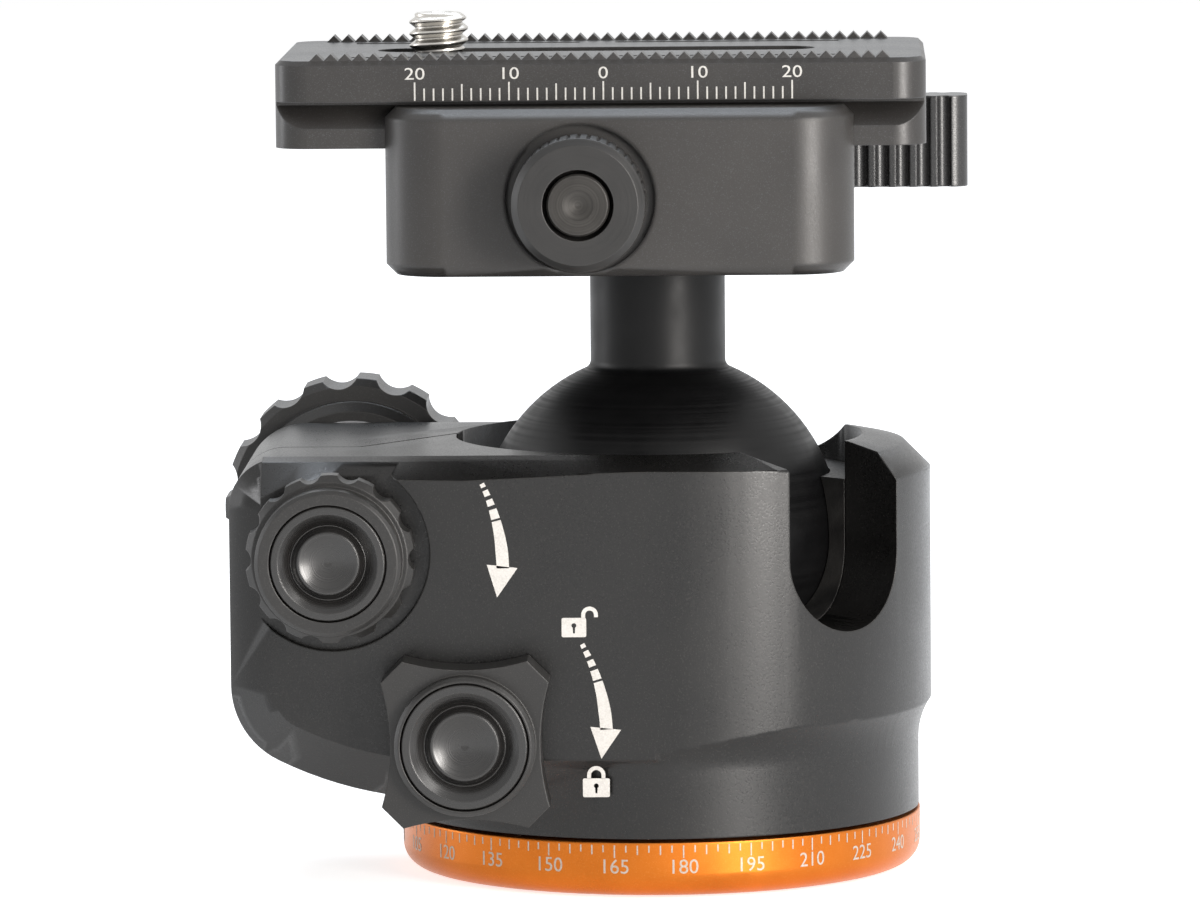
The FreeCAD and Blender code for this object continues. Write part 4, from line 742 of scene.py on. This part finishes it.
def merge(target: bmesh.types.BMesh, source: bmesh.types.BMesh,
          move: Callable[[Vector], Vector]) -> None:
    """Adds one mesh to another, each vertex moved; the source is freed.

    Args:
        target: The mesh that grows.
        source: The mesh that is added.
        move: Gives a vertex its new place.
    """
    fresh = {spot: target.verts.new(move(spot.co)) for spot in source.verts}
    for face in source.faces:
        target.faces.new([fresh[spot] for spot in face.verts])
    source.free()


def arc(centre: Point2, radius: float, start: float, end: float, steps: int = 16) -> list[Point2]:
    """Points of an arc.

    Args:
        centre: Its middle.
        radius: Its radius.
        start: Its first angle in degrees.
        end: Its last angle in degrees.
        steps: How many chords it has.

    Returns:
        The points, both ends included.
    """
    angles = [math.radians(start + (end - start) * step / steps) for step in range(steps + 1)]
    return [(centre[0] + radius * math.cos(a), centre[1] + radius * math.sin(a)) for a in angles]


@dataclass(frozen=True)
class Thread:
    """A screw thread: a ridge that climbs one pitch in each turn."""

    pitch: float
    depth: float
    low: float
    high: float
    turn_steps: int = 64
    rise_step: float = 0.09
    flank_gain: float = 1.35
    root_flat: float = 0.12
    start_fade: float = 0.3
    end_fade: float = 0.45

    def offset(self, turn: float, height: float) -> float:
        """How far the flank stands off the root at one spot.

        Args:
            turn: The angle as a share of one turn.
            height: The height in millimetres.

        Returns:
            The offset in millimetres.
        """
        if not self.low <= height <= self.high:
            return 0.0
        phase = (height / self.pitch - turn) % 1.0
        climb = self.flank_gain * (1.0 - abs(2.0 * phase - 1.0)) - self.root_flat
        ridge = min(1.0, max(0.0, climb))
        fade = min(1.0, (self.high - height) / (self.end_fade * self.pitch),
                   (height - self.low) / (self.start_fade * self.pitch))
        return self.depth * ridge * max(0.0, fade)

    def turned(self, profile: Sequence[tuple[float, float, bool]],
               centre: Point2, closed: bool) -> bmesh.types.BMesh:
        """Spins a profile and cuts the thread into its marked runs.

        Args:
            profile: Radius, height and whether the run from here on is threaded.
            centre: The axis in x and y.
            closed: Whether the profile returns to its start.

        Returns:
            The mesh in metres.
        """
        rows = self.rows(profile, closed)
        mesh = bmesh.new()
        steps = self.turn_steps
        grid = []
        for radius, height, cut in rows:
            ring = []
            for step in range(steps):
                angle = 2.0 * math.pi * step / steps
                reach = radius + (self.offset(step / steps, height) if cut else 0.0)
                ring.append(mesh.verts.new((
                    (centre[0] + reach * math.cos(angle)) * MM,
                    (centre[1] + reach * math.sin(angle)) * MM,
                    height * MM)))
            grid.append(ring)
        pairs = list(zip(grid, grid[1:] + (grid[:1] if closed else [])))
        for lower, upper in pairs:
            for step in range(steps):
                after = (step + 1) % steps
                mesh.faces.new((lower[step], lower[after], upper[after], upper[step]))
        bmesh.ops.remove_doubles(mesh, verts=mesh.verts, dist=1e-8)
        return mesh

    def rows(self, profile: Sequence[tuple[float, float, bool]],
             closed: bool) -> list[tuple[float, float, bool]]:
        """Divides the threaded runs of a profile.

        Args:
            profile: The corners.
            closed: Whether the profile returns to its start.

        Returns:
            The rows to spin.
        """
        rows = []
        ends = list(profile[1:]) + ([profile[0]] if closed else [])
        for (radius, height, cut), (next_radius, next_height, _) in zip(profile, ends):
            count = 1
            if cut:
                count = max(1, int(abs(next_height - height) / self.rise_step))
            for step in range(count):
                share = step / count
                rows.append((radius + (next_radius - radius) * share,
                             height + (next_height - height) * share, cut))
        if not closed:
            rows.append(profile[-1])
        return rows


# Sub-assemblies


@dataclass
class Base:
    """The orange ring with its degree scale, the bush, the pad and the pan spindle."""

    radius: float = 28.1
    height: float = 5.9
    zero_offset: float = 5.8
    degree_step: float = 2.5
    top_margin: float = 0.25
    tick_heights: dict = field(default_factory=lambda: {
        Tick.SHORT: 0.75, Tick.MIDDLE: 1.0, Tick.LONG: 1.35})
    tick_width: float = 0.15
    numeral_height: float = 1.5
    numeral_middle: float = 3.3
    proud: float = 0.02
    bush_radius: float = 8.0
    bush_rim_radius: float = 9.6
    bush_rim_height: float = 1.5
    bush_root: float = 3.97
    bush_pitch: float = 1.5875
    bush_thread_depth: float = 0.62
    bush_mouth: float = 0.5

    def wrap(self, degrees: float) -> Callable[[Vector], Vector]:
        """Gives the move that lays a flat mark on the ring.

        Args:
            degrees: Where the mark's own middle goes, from the front towards the right.

        Returns:
            The move, from millimetres in a plane to metres on the ring.
        """
        def move(spot: Vector) -> Vector:
            """Lays one vertex on the ring."""
            angle = math.radians(degrees) + spot.x / self.radius
            reach = self.radius + self.proud + spot.z
            return Vector((reach * math.sin(angle), -reach * math.cos(angle), spot.y)) * MM
        return move

    def rank(self, degrees: float) -> Tick:
        """The rank of a mark: long each 15 degrees, middle each 5."""
        if degrees % 15 == 0:
            return Tick.LONG
        return Tick.MIDDLE if degrees % 5 == 0 else Tick.SHORT

    def scale(self, finish: bpy.types.Material) -> None:
        """Engraves the scale.

        Args:
            finish: The mark's material.
        """
        mesh = bmesh.new()
        for index in range(int(360 / self.degree_step)):
            degrees = index * self.degree_step
            rank = self.rank(degrees)
            spot = degrees - 180.0 + self.zero_offset
            high = self.height - self.top_margin
            merge(mesh, outline_mesh([bar(0.0, high - self.tick_heights[rank], high,
                                          self.tick_width)], self.proud * 2), self.wrap(spot))
            if rank is Tick.LONG:
                numeral = text_mesh(f"{int(degrees)}", self.numeral_height, self.proud * 2)
                bmesh.ops.translate(numeral, verts=numeral.verts,
                                    vec=(0.0, self.numeral_middle, 0.0))
                merge(mesh, numeral, self.wrap(spot))
        add_piece("base_scale", mesh, finish, "base")

    def bush(self, finish: bpy.types.Material) -> None:
        """Cuts the 3/8 in thread into the tripod bush.

        Args:
            finish: The bush's material.
        """
        rim = self.height - self.bush_rim_height
        thread = Thread(self.bush_pitch, self.bush_thread_depth, 0.0, self.height)
        mesh = thread.turned([
            (self.bush_root + self.bush_mouth, 0.0, False), (self.bush_radius, 0.0, False),
            (self.bush_radius, rim, False), (self.bush_rim_radius, rim, False),
            (self.bush_rim_radius, self.height, False), (self.bush_root, self.height, True),
            (self.bush_root, self.bush_mouth, False),
        ], (0.0, 0.0), closed=True)
        piece = add_piece("threaded_bush", mesh, finish, "base")
        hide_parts("tripod_bush")

    def build(self) -> None:
        """Builds and dresses the base."""
        orange = BlastedAnodise("orange anodise", (0.46, 0.12, 0.012), (0.56, 0.155, 0.017),
                                (0.7, 0.3, 0.08), grain=0.12, depth=0.003, rough=0.33,
                                gloss=0.5, metal=0.92, edge_radius=0.3, wear_and_highlight_gain=1.6)
        dress(["base_ring"], orange.make())
        steel = TurnedMetal("turned bush steel", (0.55, 0.55, 0.56), (0.4, 0.4, 0.41),
                            PAN_AXIS, Axis.Z, edge=grey(0.7)).make()
        self.scale(Engraving("ring engraving", (0.52, 0.47, 0.42), (0.34, 0.27, 0.2),
                             metal=0.35).make())
        self.bush(steel)
        dress(["pan_spindle", "retaining_nut"], TurnedMetal(
            "turned spindle steel", (0.5, 0.5, 0.51), (0.36, 0.36, 0.37), PAN_AXIS,
            Axis.Z, pitch=0.25).make())
        dress(["base_pad"], Moulded("pad rubber", grey(0.03), grey(0.09),
                                    rough=0.75, skin=0.5, depth=0.05).make())
        dress(["thrust_washer"], Moulded("slide plastic", (0.7, 0.7, 0.66), (0.5, 0.5, 0.46),
                                         rough=0.4).make())
        dress(["spindle_screws"], DrawnSteel("black screws", grey(0.1), 0.35).make())


@dataclass
class Sign:
    """A white sign on the flat front of the housing, as outlines in x and z."""

    name: str
    loops: list

    def build(self, front: float, finish: bpy.types.Material) -> None:
        """Lays the sign on the front.

        Args:
            front: The front's distance from the pan axis, in millimetres.
            finish: The sign's material.
        """
        proud = 0.02
        mesh = bmesh.new()
        for loops in self.loops:
            merge(mesh, outline_mesh(loops, proud * 2), lambda spot: Vector(
                (spot.x, -front - proud - spot.z, spot.y)) * MM)
        add_piece(self.name, mesh, finish, "housing")


@dataclass(frozen=True)
class Arrow:
    """A curved arrow in x and z, whose tail starts in dashes and widens towards its head."""

    start: Point2
    end: Point2
    head: tuple
    dashes: tuple = ((0.0, 0.045), (0.085, 0.155), (0.2, 0.275), (0.32, 0.435), (0.46, 1.0))
    bow: Point2 = (1.0, 0.35)
    widths: Point2 = (0.5, 1.32)
    full_width_share: float = 0.8
    steps: int = 24

    def spine(self, share: float) -> tuple[Vector, Vector]:
        """The tail's middle line.

        Args:
            share: How far along the tail, from 0 to 1.

        Returns:
            The point there and the direction to its side.
        """
        first, last = Vector(self.start), Vector(self.end)
        middle = (first + last) / 2 + Vector(self.bow)
        spot = first * (1 - share) ** 2 + middle * 2 * share * (1 - share) + last * share ** 2
        way = (middle - first) * (1 - share) + (last - middle) * share
        return spot, Vector((-way.y, way.x)).normalized()

    def outlines(self) -> list:
        """Draws the arrow.

        Returns:
            One group of outlines for each dash and one for the head.
        """
        thin, wide = self.widths
        groups = []
        for low, high in self.dashes:
            steps = max(2, int((high - low) * self.steps))
            left, right = [], []
            for step in range(steps + 1):
                share = low + (high - low) * step / steps
                spot, side = self.spine(share)
                half = (thin + (wide - thin) * min(1.0, share / self.full_width_share)) / 2
                left.append(tuple(spot + side * half))
                right.append(tuple(spot - side * half))
            groups.append([left + right[::-1]])
        return groups + [[list(self.head)]]


def padlock(left: float, low: float, width: float, height: float, is_open: bool) -> list:
    """Outlines of a padlock.

    Args:
        left: The body's left side.
        low: The body's underside.
        width: The body's width.
        height: The body's height.
        is_open: Whether the shackle is swung out to the right.

    Returns:
        One group of outlines for the body and one for the shackle.
    """
    corner, eye_radius, slot_half, slot_low = 0.18, 0.26, 0.1, 0.4
    shackle_share, shackle_wall, lap = 0.34, 0.42, 0.04
    swing_share, bend_share, open_gap = 0.8, 0.12, 0.25
    top = low + height
    middle = left + width / 2
    body = (arc((left + corner, low + corner), corner, 180, 270, 4)
            + arc((left + width - corner, low + corner), corner, 270, 360, 4)
            + arc((left + width - corner, top - corner), corner, 0, 90, 4)
            + arc((left + corner, top - corner), corner, 90, 180, 4))
    keyhole = arc((middle, low + height * 0.6), eye_radius, -60, 240, 14)
    keyhole += [(middle - slot_half, low + slot_low), (middle + slot_half, low + slot_low)]
    outer = width * shackle_share
    inner = outer - shackle_wall
    bend = top + width * bend_share
    centre = left + width * swing_share + outer if is_open else middle
    right_end = bend - open_gap if is_open else top - lap
    shackle = ([(centre - outer, top - lap)] + arc((centre, bend), outer, 180, 0)
               + [(centre + outer, right_end), (centre + inner, right_end)]
               + arc((centre, bend), inner, 0, 180) + [(centre - inner, top - lap)])
    return [[body, keyhole], [shackle]]


@dataclass
class Housing:
    """The split housing with its signs, and what sits in it."""

    front: float = 28.3
    knob_sink_radius: float = 10.3
    knob_sink_depth: float = 1.3
    brow: tuple = ((-41.6, 41.2), (-37.5, 43.4), (-33.0, 44.6), (-27.0, 44.75), (-20.0, 44.6),
                   (-12.0, 44.95), (-4.0, 45.34))
    brow_low: float = 41.0
    brow_crease: Point2 = (-23.9, 46.24)
    brow_back: Point2 = (-21.8, 46.62)
    saddle_angle: float = 58.0
    saddle_radius: float = 21.0
    saddle_axis_height: float = 63.5
    saddle_run: Point2 = (12.0, 45.0)
    friction_arrow: Arrow = Arrow((-18.13, 44.3), (-16.0, 35.3),
                                  ((-17.69, 35.71), (-14.45, 35.33), (-16.63, 32.22)))
    lock_arrow: Arrow = Arrow((-7.7, 27.2), (-5.2, 18.1),
                              ((-6.90, 18.40), (-3.66, 18.06), (-5.76, 14.98)))
    open_lock: tuple = (-9.85, 27.95, 2.6, 2.05)
    shut_lock: tuple = (-7.75, 10.9, 2.85, 2.0)

    def signs(self, finish: bpy.types.Material) -> None:
        """Lays the arrows and the padlocks on the front.

        Args:
            finish: The print's material.
        """
        for sign in (Sign("friction_arrow", self.friction_arrow.outlines()),
                     Sign("lock_arrow", self.lock_arrow.outlines()),
                     Sign("open_padlock", padlock(*self.open_lock, True)),
                     Sign("shut_padlock", padlock(*self.shut_lock, False))):
            sign.build(self.front, finish)

    def brow_solid(self) -> bmesh.types.BMesh:
        """The sloped front of the top, above the crisp edge of the flat front."""
        inset = 0.003
        rings = []
        for across, high in self.brow:
            front = -self.front + inset
            rings.append([Vector((across, *spot)) for spot in (
                (front, self.brow_low), (self.brow_back[0], self.brow_low), self.brow_back,
                self.brow_crease, (front, high))])
        return closed_hull(rings)

    def shell(self, finish: bpy.types.Material) -> None:
        """Completes the housing: its brow, the sink round the knob and the low rim behind.

        Args:
            finish: The housing's material.
        """
        turn = math.radians(self.saddle_angle)
        way = Vector((math.cos(turn), math.sin(turn), 0.0))
        origin = Vector((0.0, 0.0, self.saddle_axis_height))
        near, far = self.saddle_run
        saddle = rod(origin + way * near, origin + way * far, self.saddle_radius, sides=160)
        sink = seat_cutter(LOCK_AXIS, self.front, self.knob_sink_radius, self.knob_sink_depth)
        carve("housing", "housing_shell", [
            ("UNION", self.brow_solid()), ("DIFFERENCE", sink), ("DIFFERENCE", saddle)],
            finish, "housing")

    def build(self) -> None:
        """Builds and dresses the housing."""
        # The slight warm tint of these blacks is painted, standing for the warm front light.
        black = BlastedAnodise("blasted black", (0.0032, 0.003, 0.0029), (0.005, 0.0047, 0.0045),
                               (0.055, 0.052, 0.048), depth=0.008, gloss=0.45, rough=0.32)
        finish = black.make()
        dress(["housing"], finish)
        self.shell(finish)
        self.signs(Engraving("white print", (0.72, 0.70, 0.67), (0.5, 0.48, 0.45),
                             rough=0.6).make())
        # The liner's lighter edge colour paints thin highlight lines along its edges, partly as
        # scuffing.
        dress(["socket_liner"], Moulded("liner plastic", grey(0.006),
                                        (0.1, 0.095, 0.09), rough=0.45).make())
        dress(["lower_seat"], Moulded("seat plastic", (0.6, 0.6, 0.56), (0.4, 0.4, 0.37),
                                      rough=0.45).make())
        dress(["draw_bolt", "lock_washer", "friction_washer"], TurnedMetal(
            "turned bolt steel", (0.42, 0.42, 0.43), (0.3, 0.3, 0.31), LOCK_AXIS,
            Axis.Y).make())
        dress(["end_screw"], TurnedMetal(
            "black end screw", grey(0.03), grey(0.05), (0.0, 3.0, 36.9),
            Axis.X, metal=0.0, edge=grey(0.2)).make())
        dress(["seat_spring", "brake_spring"], DrawnSteel("spring steel", (0.4, 0.4, 0.41)).make())
        dress(["pan_brake"], TurnedMetal("turned brass", (0.72, 0.5, 0.2), (0.55, 0.36, 0.13),
                                         (-19.9, -14.0, 0.0), Axis.Z, edge=(0.9, 0.7, 0.4)).make())


@dataclass
class Knobs:
    """The three knobs of the housing with their polished, dished caps."""

    def build(self) -> None:
        """Dresses the knobs."""
        # The lobes' lighter edge colour paints the bright thin edges of the lobes, partly as wear.
        lobes = BlastedAnodise("blasted knob black", (0.010, 0.0095, 0.009),
                               (0.014, 0.0133, 0.0126), (0.09, 0.086, 0.082), grain=0.16,
                               depth=0.006, rough=0.38, gloss=0.5, edge_radius=0.2, wear_and_highlight_gain=2.6)
        dress(["main_knob", "friction_knob", "pan_knob"], lobes.make())
        for name, centre in (("main_knob_cap", LOCK_AXIS), ("friction_knob_cap", LOCK_AXIS),
                             ("pan_knob_cap", PAN_KNOB_AXIS)):
            # The caps' edge colour, many times lighter than their black, paints highlights on their
            # rims and lips.
            cap = TurnedMetal(name.replace("_", " "), (0.0065, 0.006, 0.0057), (0.012, 0.011, 0.0102),
                              centre, Axis.Y, pitch=0.12, depth=0.002, rough=0.27, metal=0.0,
                              gloss=0.7, edge_radius=0.2, edge_gain=1.4,
                              edge=(0.10, 0.095, 0.09))
            dress([name], cap.make())
        dress(["pan_screw"], TurnedMetal("turned pan screw", (0.4, 0.4, 0.41),
                                         (0.3, 0.3, 0.31), PAN_KNOB_AXIS, Axis.Y).make())


@dataclass
class BallStem:
    """The hard anodised ball and its stem."""

    def build(self) -> None:
        """Dresses the ball."""
        ball = TurnedMetal("hard anodised ball", (0.0022, 0.0022, 0.0024), (0.0032, 0.0032, 0.0034),
                           PAN_AXIS, Axis.Z, pitch=0.3, depth=0.0002, rough=0.38,
                           metal=0.0, gloss=0.22, edge_radius=0.3, edge_gain=1.0,
                           edge=(0.012, 0.012, 0.013))
        dress(["ball"], ball.make())


@dataclass
class Clamp:
    """The lever clamp: body, sliding jaw, draw rod, adjuster, lever and its screws."""

    rod_axis: tuple = (-7.6, 0.0, 74.0)
    front: float = 25.0
    sink_radius: float = 7.9
    sink_depth: float = 1.0

    def shell(self, finish: bpy.types.Material) -> None:
        """Sinks the round seat of the adjuster into the clamp's front.

        Args:
            finish: The clamp's material.
        """
        sink = seat_cutter(self.rod_axis, self.front, self.sink_radius, self.sink_depth)
        carve("clamp_body", "clamp_shell", [("DIFFERENCE", sink)], finish, "clamp")

    def build(self) -> None:
        """Dresses the clamp."""
        # The bluish edge colour paints the rounded edges with the highlight of the bluish top light,
        # partly as wear; the slight warm tint of the body is painted, standing for the warm front
        # light.
        shell = BlastedAnodise("fine blasted black", (0.021, 0.0192, 0.0178),
                               (0.027, 0.0248, 0.023), (0.085, 0.09, 0.1), grain=0.15,
                               depth=0.005, rough=0.42, gloss=0.5, edge_radius=0.6, wear_and_highlight_gain=1.2)
        finish = shell.make()
        dress(["clamp_body", "clamp_jaw"], finish)
        self.shell(finish)
        dress(["clamp_lever"], BlastedAnodise(
            "lever black", (0.012, 0.012, 0.0125), (0.016, 0.016, 0.0165), (0.09, 0.09, 0.095),
            grain=0.15, depth=0.004, rough=0.3, gloss=0.6, edge_radius=0.3, wear_and_highlight_gain=1.8).make())
        dress(["adjuster_nut"], TurnedMetal(
            "adjuster black", (0.009, 0.0085, 0.008), (0.013, 0.0122, 0.0115), self.rod_axis,
            Axis.Y, pitch=0.2, depth=0.002, rough=0.4, metal=0.0, gloss=0.5, edge_gain=2.2,
            edge=(0.09, 0.086, 0.082)).make())
        dress(["draw_rod"], TurnedMetal(
            "turned rod end", (0.03, 0.028, 0.026), (0.055, 0.052, 0.048), self.rod_axis,
            Axis.Y, pitch=0.28, depth=0.008, rough=0.36, metal=0.35, gloss=0.3,
            edge=grey(0.2)).make())
        dress(["clamp_screw"], TurnedMetal(
            "black oxide", (0.05, 0.05, 0.052), (0.08, 0.08, 0.083), PAN_AXIS, Axis.Z,
            metal=0.8, rough=0.35, edge=grey(0.25)).make())
        dress(["guide_pins", "lever_pin"], DrawnSteel("ground pins", (0.55, 0.55, 0.56)).make())
        dress(["jaw_springs"], DrawnSteel("jaw spring steel", (0.4, 0.4, 0.41)).make())


@dataclass
class Plate:
    """The quick-release plate with its millimetre scale, grip strips and camera screw."""

    scale_middle: float = -5.19
    front: float = 19.0
    tick_low: float = 84.15
    tick_heights: dict = field(default_factory=lambda: {
        Tick.SHORT: 1.3, Tick.MIDDLE: 1.75, Tick.LONG: 1.95})
    tick_width: float = 0.17
    reach: int = 20
    numeral_height: float = 1.25
    numeral_middle: float = 86.95
    numeral_stretch: float = 1.25
    proud: float = 0.02
    plate_top: float = 88.4
    screw_x: float = -23.4
    thread_crest: float = 3.175
    thread_depth: float = 0.62
    thread_pitch: float = 1.27
    screw_rise: float = 4.1
    neck_radius: float = 2.6
    joint_drop: float = 0.2

    def rank(self, mark: int) -> Tick:
        """The rank of a mark: long each 10 mm, middle each 5."""
        if mark % 10 == 0:
            return Tick.LONG
        return Tick.MIDDLE if mark % 5 == 0 else Tick.SHORT

    def scale(self, finish: bpy.types.Material) -> None:
        """Engraves the scale on the front of the plate.

        Args:
            finish: The mark's material.
        """
        mesh = bmesh.new()

        def lay(spot: Vector) -> Vector:
            """Lays one vertex on the plate's front."""
            return Vector((self.scale_middle + spot.x, -self.front - self.proud - spot.z,
                           spot.y)) * MM

        for mark in range(-self.reach, self.reach + 1):
            rank = self.rank(mark)
            outline = bar(float(mark), self.tick_low, self.tick_low + self.tick_heights[rank],
                          self.tick_width)
            merge(mesh, outline_mesh([outline], self.proud * 2), lay)
            if rank is Tick.LONG:
                numeral = text_mesh(f"{abs(mark)}", self.numeral_height, self.proud * 2)
                bmesh.ops.scale(numeral, verts=numeral.verts, vec=(self.numeral_stretch, 1.0, 1.0))
                bmesh.ops.translate(numeral, verts=numeral.verts,
                                    vec=(float(mark), self.numeral_middle, 0.0))
                merge(mesh, numeral, lay)
        add_piece("plate_scale", mesh, finish, "plate")

    def camera_screw(self, finish: bpy.types.Material) -> None:
        """Builds the 1/4 in screw: the solid's head under a real thread.

        Args:
            finish: The screw's material.
        """
        lap, runout = 0.5, 0.1
        chamfer, chamfer_rise = 0.25, 0.15
        dish_edge, dish_floor, dish_depth = 0.9, 1.1, 0.12
        joint = self.plate_top - self.joint_drop
        mesh = bmesh.new()
        mesh.from_mesh(bpy.data.objects["camera_screw"].data)
        bmesh.ops.bisect_plane(mesh, geom=mesh.verts[:] + mesh.edges[:] + mesh.faces[:],
                               plane_co=(0.0, 0.0, joint * MM), plane_no=(0.0, 0.0, 1.0),
                               clear_outer=True)
        bmesh.ops.remove_doubles(mesh, verts=mesh.verts, dist=1e-6)
        top = self.plate_top + self.screw_rise
        root = self.thread_crest - self.thread_depth
        thread = Thread(self.thread_pitch, self.thread_depth, joint + runout, top - runout)
        shank = thread.turned([
            (0.0, joint - lap, False), (self.neck_radius - runout, joint - lap, False),
            (root, joint, True), (root, top - chamfer_rise, False), (root - chamfer, top, False),
            (root - dish_edge, top, False), (root - dish_floor, top - dish_depth, False),
            (0.0, top - dish_depth, False),
        ], (self.screw_x, 0.0), closed=False)
        merge(mesh, shank, lambda spot: spot)
        piece = add_piece("threaded_camera_screw", mesh, finish, "camera_screw",
                          smooth=True)
        for face in piece.data.polygons:
            face.use_smooth = face.center.z > joint * MM
        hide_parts("camera_screw")

    def build(self) -> None:
        """Builds and dresses the plate."""
        # The bluish edge colour paints the edges with the highlight of the bluish top light, partly
        # as wear; the slight warm tint of the body is painted, standing for the warm front light.
        black = BlastedAnodise("plate black", (0.0185, 0.017, 0.016), (0.0235, 0.0215, 0.020),
                               (0.11, 0.115, 0.125), grain=0.15, depth=0.005, rough=0.38,
                               gloss=0.5, edge_radius=0.16, wear_and_highlight_gain=2.4)
        dress(["plate"], black.make())
        dress(["plate_inlays"], Moulded("strip rubber", grey(0.012),
                                        grey(0.05), rough=0.7).make())
        dress(["stop_screws"], TurnedMetal(
            "bright stop screws", grey(0.5), grey(0.38), (-36.8, 0.0, 0.0),
            Axis.Z, edge=grey(0.7)).make())
        dress(["screw_washer"], Moulded("washer plastic", grey(0.05),
                                        grey(0.12)).make())
        self.scale(Engraving("scale engraving", (0.66, 0.65, 0.62), (0.42, 0.41, 0.39),
                             rough=0.45).make())
        self.camera_screw(TurnedMetal(
            "turned stainless", (0.62, 0.6, 0.56), (0.48, 0.46, 0.43),
            (self.screw_x, 0.0, 0.0), Axis.Z, pitch=0.15, depth=0.004, rough=0.24,
            edge=(0.8, 0.78, 0.74)).make())


# Studio


@dataclass
class Lamp:
    """One soft box that looks at the object."""

    name: str
    azimuth: float
    elevation: float
    distance: float
    width: float
    height: float
    power: float
    tint: Colour = (1.0, 1.0, 1.0)

    def build(self, target: Vector) -> None:
        """Hangs the lamp.

        Args:
            target: What it looks at, in metres.
        """
        data = bpy.data.lights.new(self.name, "AREA")
        data.shape = "RECTANGLE"
        data.size, data.size_y = self.width, self.height
        data.energy = self.power
        data.color = self.tint
        thing = bpy.data.objects.new(self.name, data)
        bpy.context.scene.collection.objects.link(thing)
        turn, rise = math.radians(self.azimuth), math.radians(self.elevation)
        back = Vector((math.sin(turn) * math.cos(rise), -math.cos(turn) * math.cos(rise),
                       math.sin(rise)))
        thing.location = target + back * self.distance
        thing.rotation_mode = "QUATERNION"
        thing.rotation_quaternion = (-back).to_track_quat("-Z", "Y")
        thing.visible_camera = False
        LOG.info("lamp %s", self.name)


@dataclass
class Studio:
    """The pale floor, the soft light and the camera."""

    floor_radius: float = 3.2
    floor_drop: float = 0.0002
    paper_white: float = 0.82
    paper_glow: float = 0.72
    ambient: float = 0.32
    sensor: float = 36.0
    azimuth: float = 1.5
    pitch: float = 5.92
    roll: float = -0.5
    stand: tuple = (-6.37, -985.7, 147.09)
    lens: float = 274.2
    target: tuple = (0.0, 0.0, 45.0)

    def paper(self) -> bpy.types.Material:
        """The floor's white, lit as paper and bright enough to meet the backdrop."""
        material = bpy.data.materials.new("white paper")
        nodes = Nodes(material)
        sheet = nodes.add("ShaderNodeBsdfDiffuse")
        nodes.plug(sheet, "Color", (*grey(self.paper_white), 1.0))
        glow = nodes.add("ShaderNodeEmission")
        nodes.plug(glow, "Strength",
                   nodes.sum("MULTIPLY", self.direct_rays(nodes), self.paper_glow))
        both = nodes.add("ShaderNodeAddShader")
        nodes.plug(both, 0, sheet.outputs[0])
        nodes.plug(both, 1, glow.outputs[0])
        nodes.plug(nodes.add("ShaderNodeOutputMaterial"), "Surface", both.outputs[0])
        return material

    def direct_rays(self, nodes: Nodes) -> Socket:
        """Tells rays that show the backdrop from those that light the object.

        Args:
            nodes: The tree that asks.

        Returns:
            1 for camera, glossy and transmission rays, else 0.
        """
        path = nodes.add("ShaderNodeLightPath")
        total = path.outputs["Is Camera Ray"]
        for name in ("Is Glossy Ray", "Is Transmission Ray"):
            total = nodes.sum("MAXIMUM", total, path.outputs[name])
        return total

    def floor(self) -> None:
        """Lays the floor, a round sheet under the base."""
        mesh = bmesh.new()
        bmesh.ops.create_circle(mesh, cap_ends=True, segments=96, radius=self.floor_radius)
        thing = place_mesh("floor", mesh)
        thing.data.materials.append(self.paper())
        thing.location = (0.0, 0.0, -self.floor_drop)

    def world(self) -> None:
        """Sets the white surroundings, plain for what they light."""
        world = bpy.data.worlds.new("studio")
        bpy.context.scene.world = world
        nodes = Nodes(world)
        sky = nodes.add("ShaderNodeBackground")
        nodes.plug(sky, "Color", (*grey(1.0), 1.0))
        nodes.plug(sky, "Strength",
                   nodes.spread(self.direct_rays(nodes), self.ambient, 1.0, 0.0, 1.0))
        nodes.plug(nodes.add("ShaderNodeOutputWorld"), "Surface", sky.outputs[0])

    def camera(self) -> None:
        """Stands the camera where the photograph was taken from."""
        data = bpy.data.cameras.new("camera")
        data.lens = self.lens
        data.sensor_width = self.sensor
        data.clip_start, data.clip_end = 0.05, 20.0
        thing = bpy.data.objects.new("camera", data)
        bpy.context.scene.collection.objects.link(thing)
        swing = Matrix.Rotation(math.radians(self.azimuth), 4, "Z")
        tip = Matrix.Rotation(math.radians(90.0 - self.pitch), 4, "X")
        roll = Matrix.Rotation(math.radians(self.roll), 4, "Z")
        place = Matrix.Translation(Vector(self.stand) * MM)
        thing.matrix_world = swing @ place @ tip @ roll
        bpy.context.scene.camera = thing

    def build(self) -> None:
        """Builds the studio."""
        bpy.context.scene.view_settings.view_transform = "Standard"
        self.floor()
        self.world()
        target = Vector(self.target) * MM
        lamps = (
            Lamp("low strip", 37.0, 8.0, 0.75, 0.22, 0.3, 5.6, (1.0, 0.96, 0.92)),
            Lamp("right box", 52.0, 34.0, 0.9, 0.5, 0.5, 3.6, (1.0, 0.97, 0.94)),
            Lamp("left box", -104.0, 10.0, 1.0, 0.26, 0.6, 3.0, (0.98, 0.98, 1.0)),
            Lamp("top box", 176.0, 54.0, 1.0, 0.8, 0.5, 6.0, (0.82, 0.9, 1.0)),
        )
        for lamp in lamps:
            lamp.build(target)
        self.camera()


def main() -> None:
    """Loads the frame, then builds each sub-assembly and the studio."""
    logging.basicConfig(level=logging.INFO, format="%(name)s: %(message)s")
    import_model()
    for part in (Base(), Housing(), Knobs(), BallStem(), Clamp(), Plate()):
        LOG.info("building %s", type(part).__name__)
        part.build()
    Studio().build()


if __name__ == "__main__":
    main()
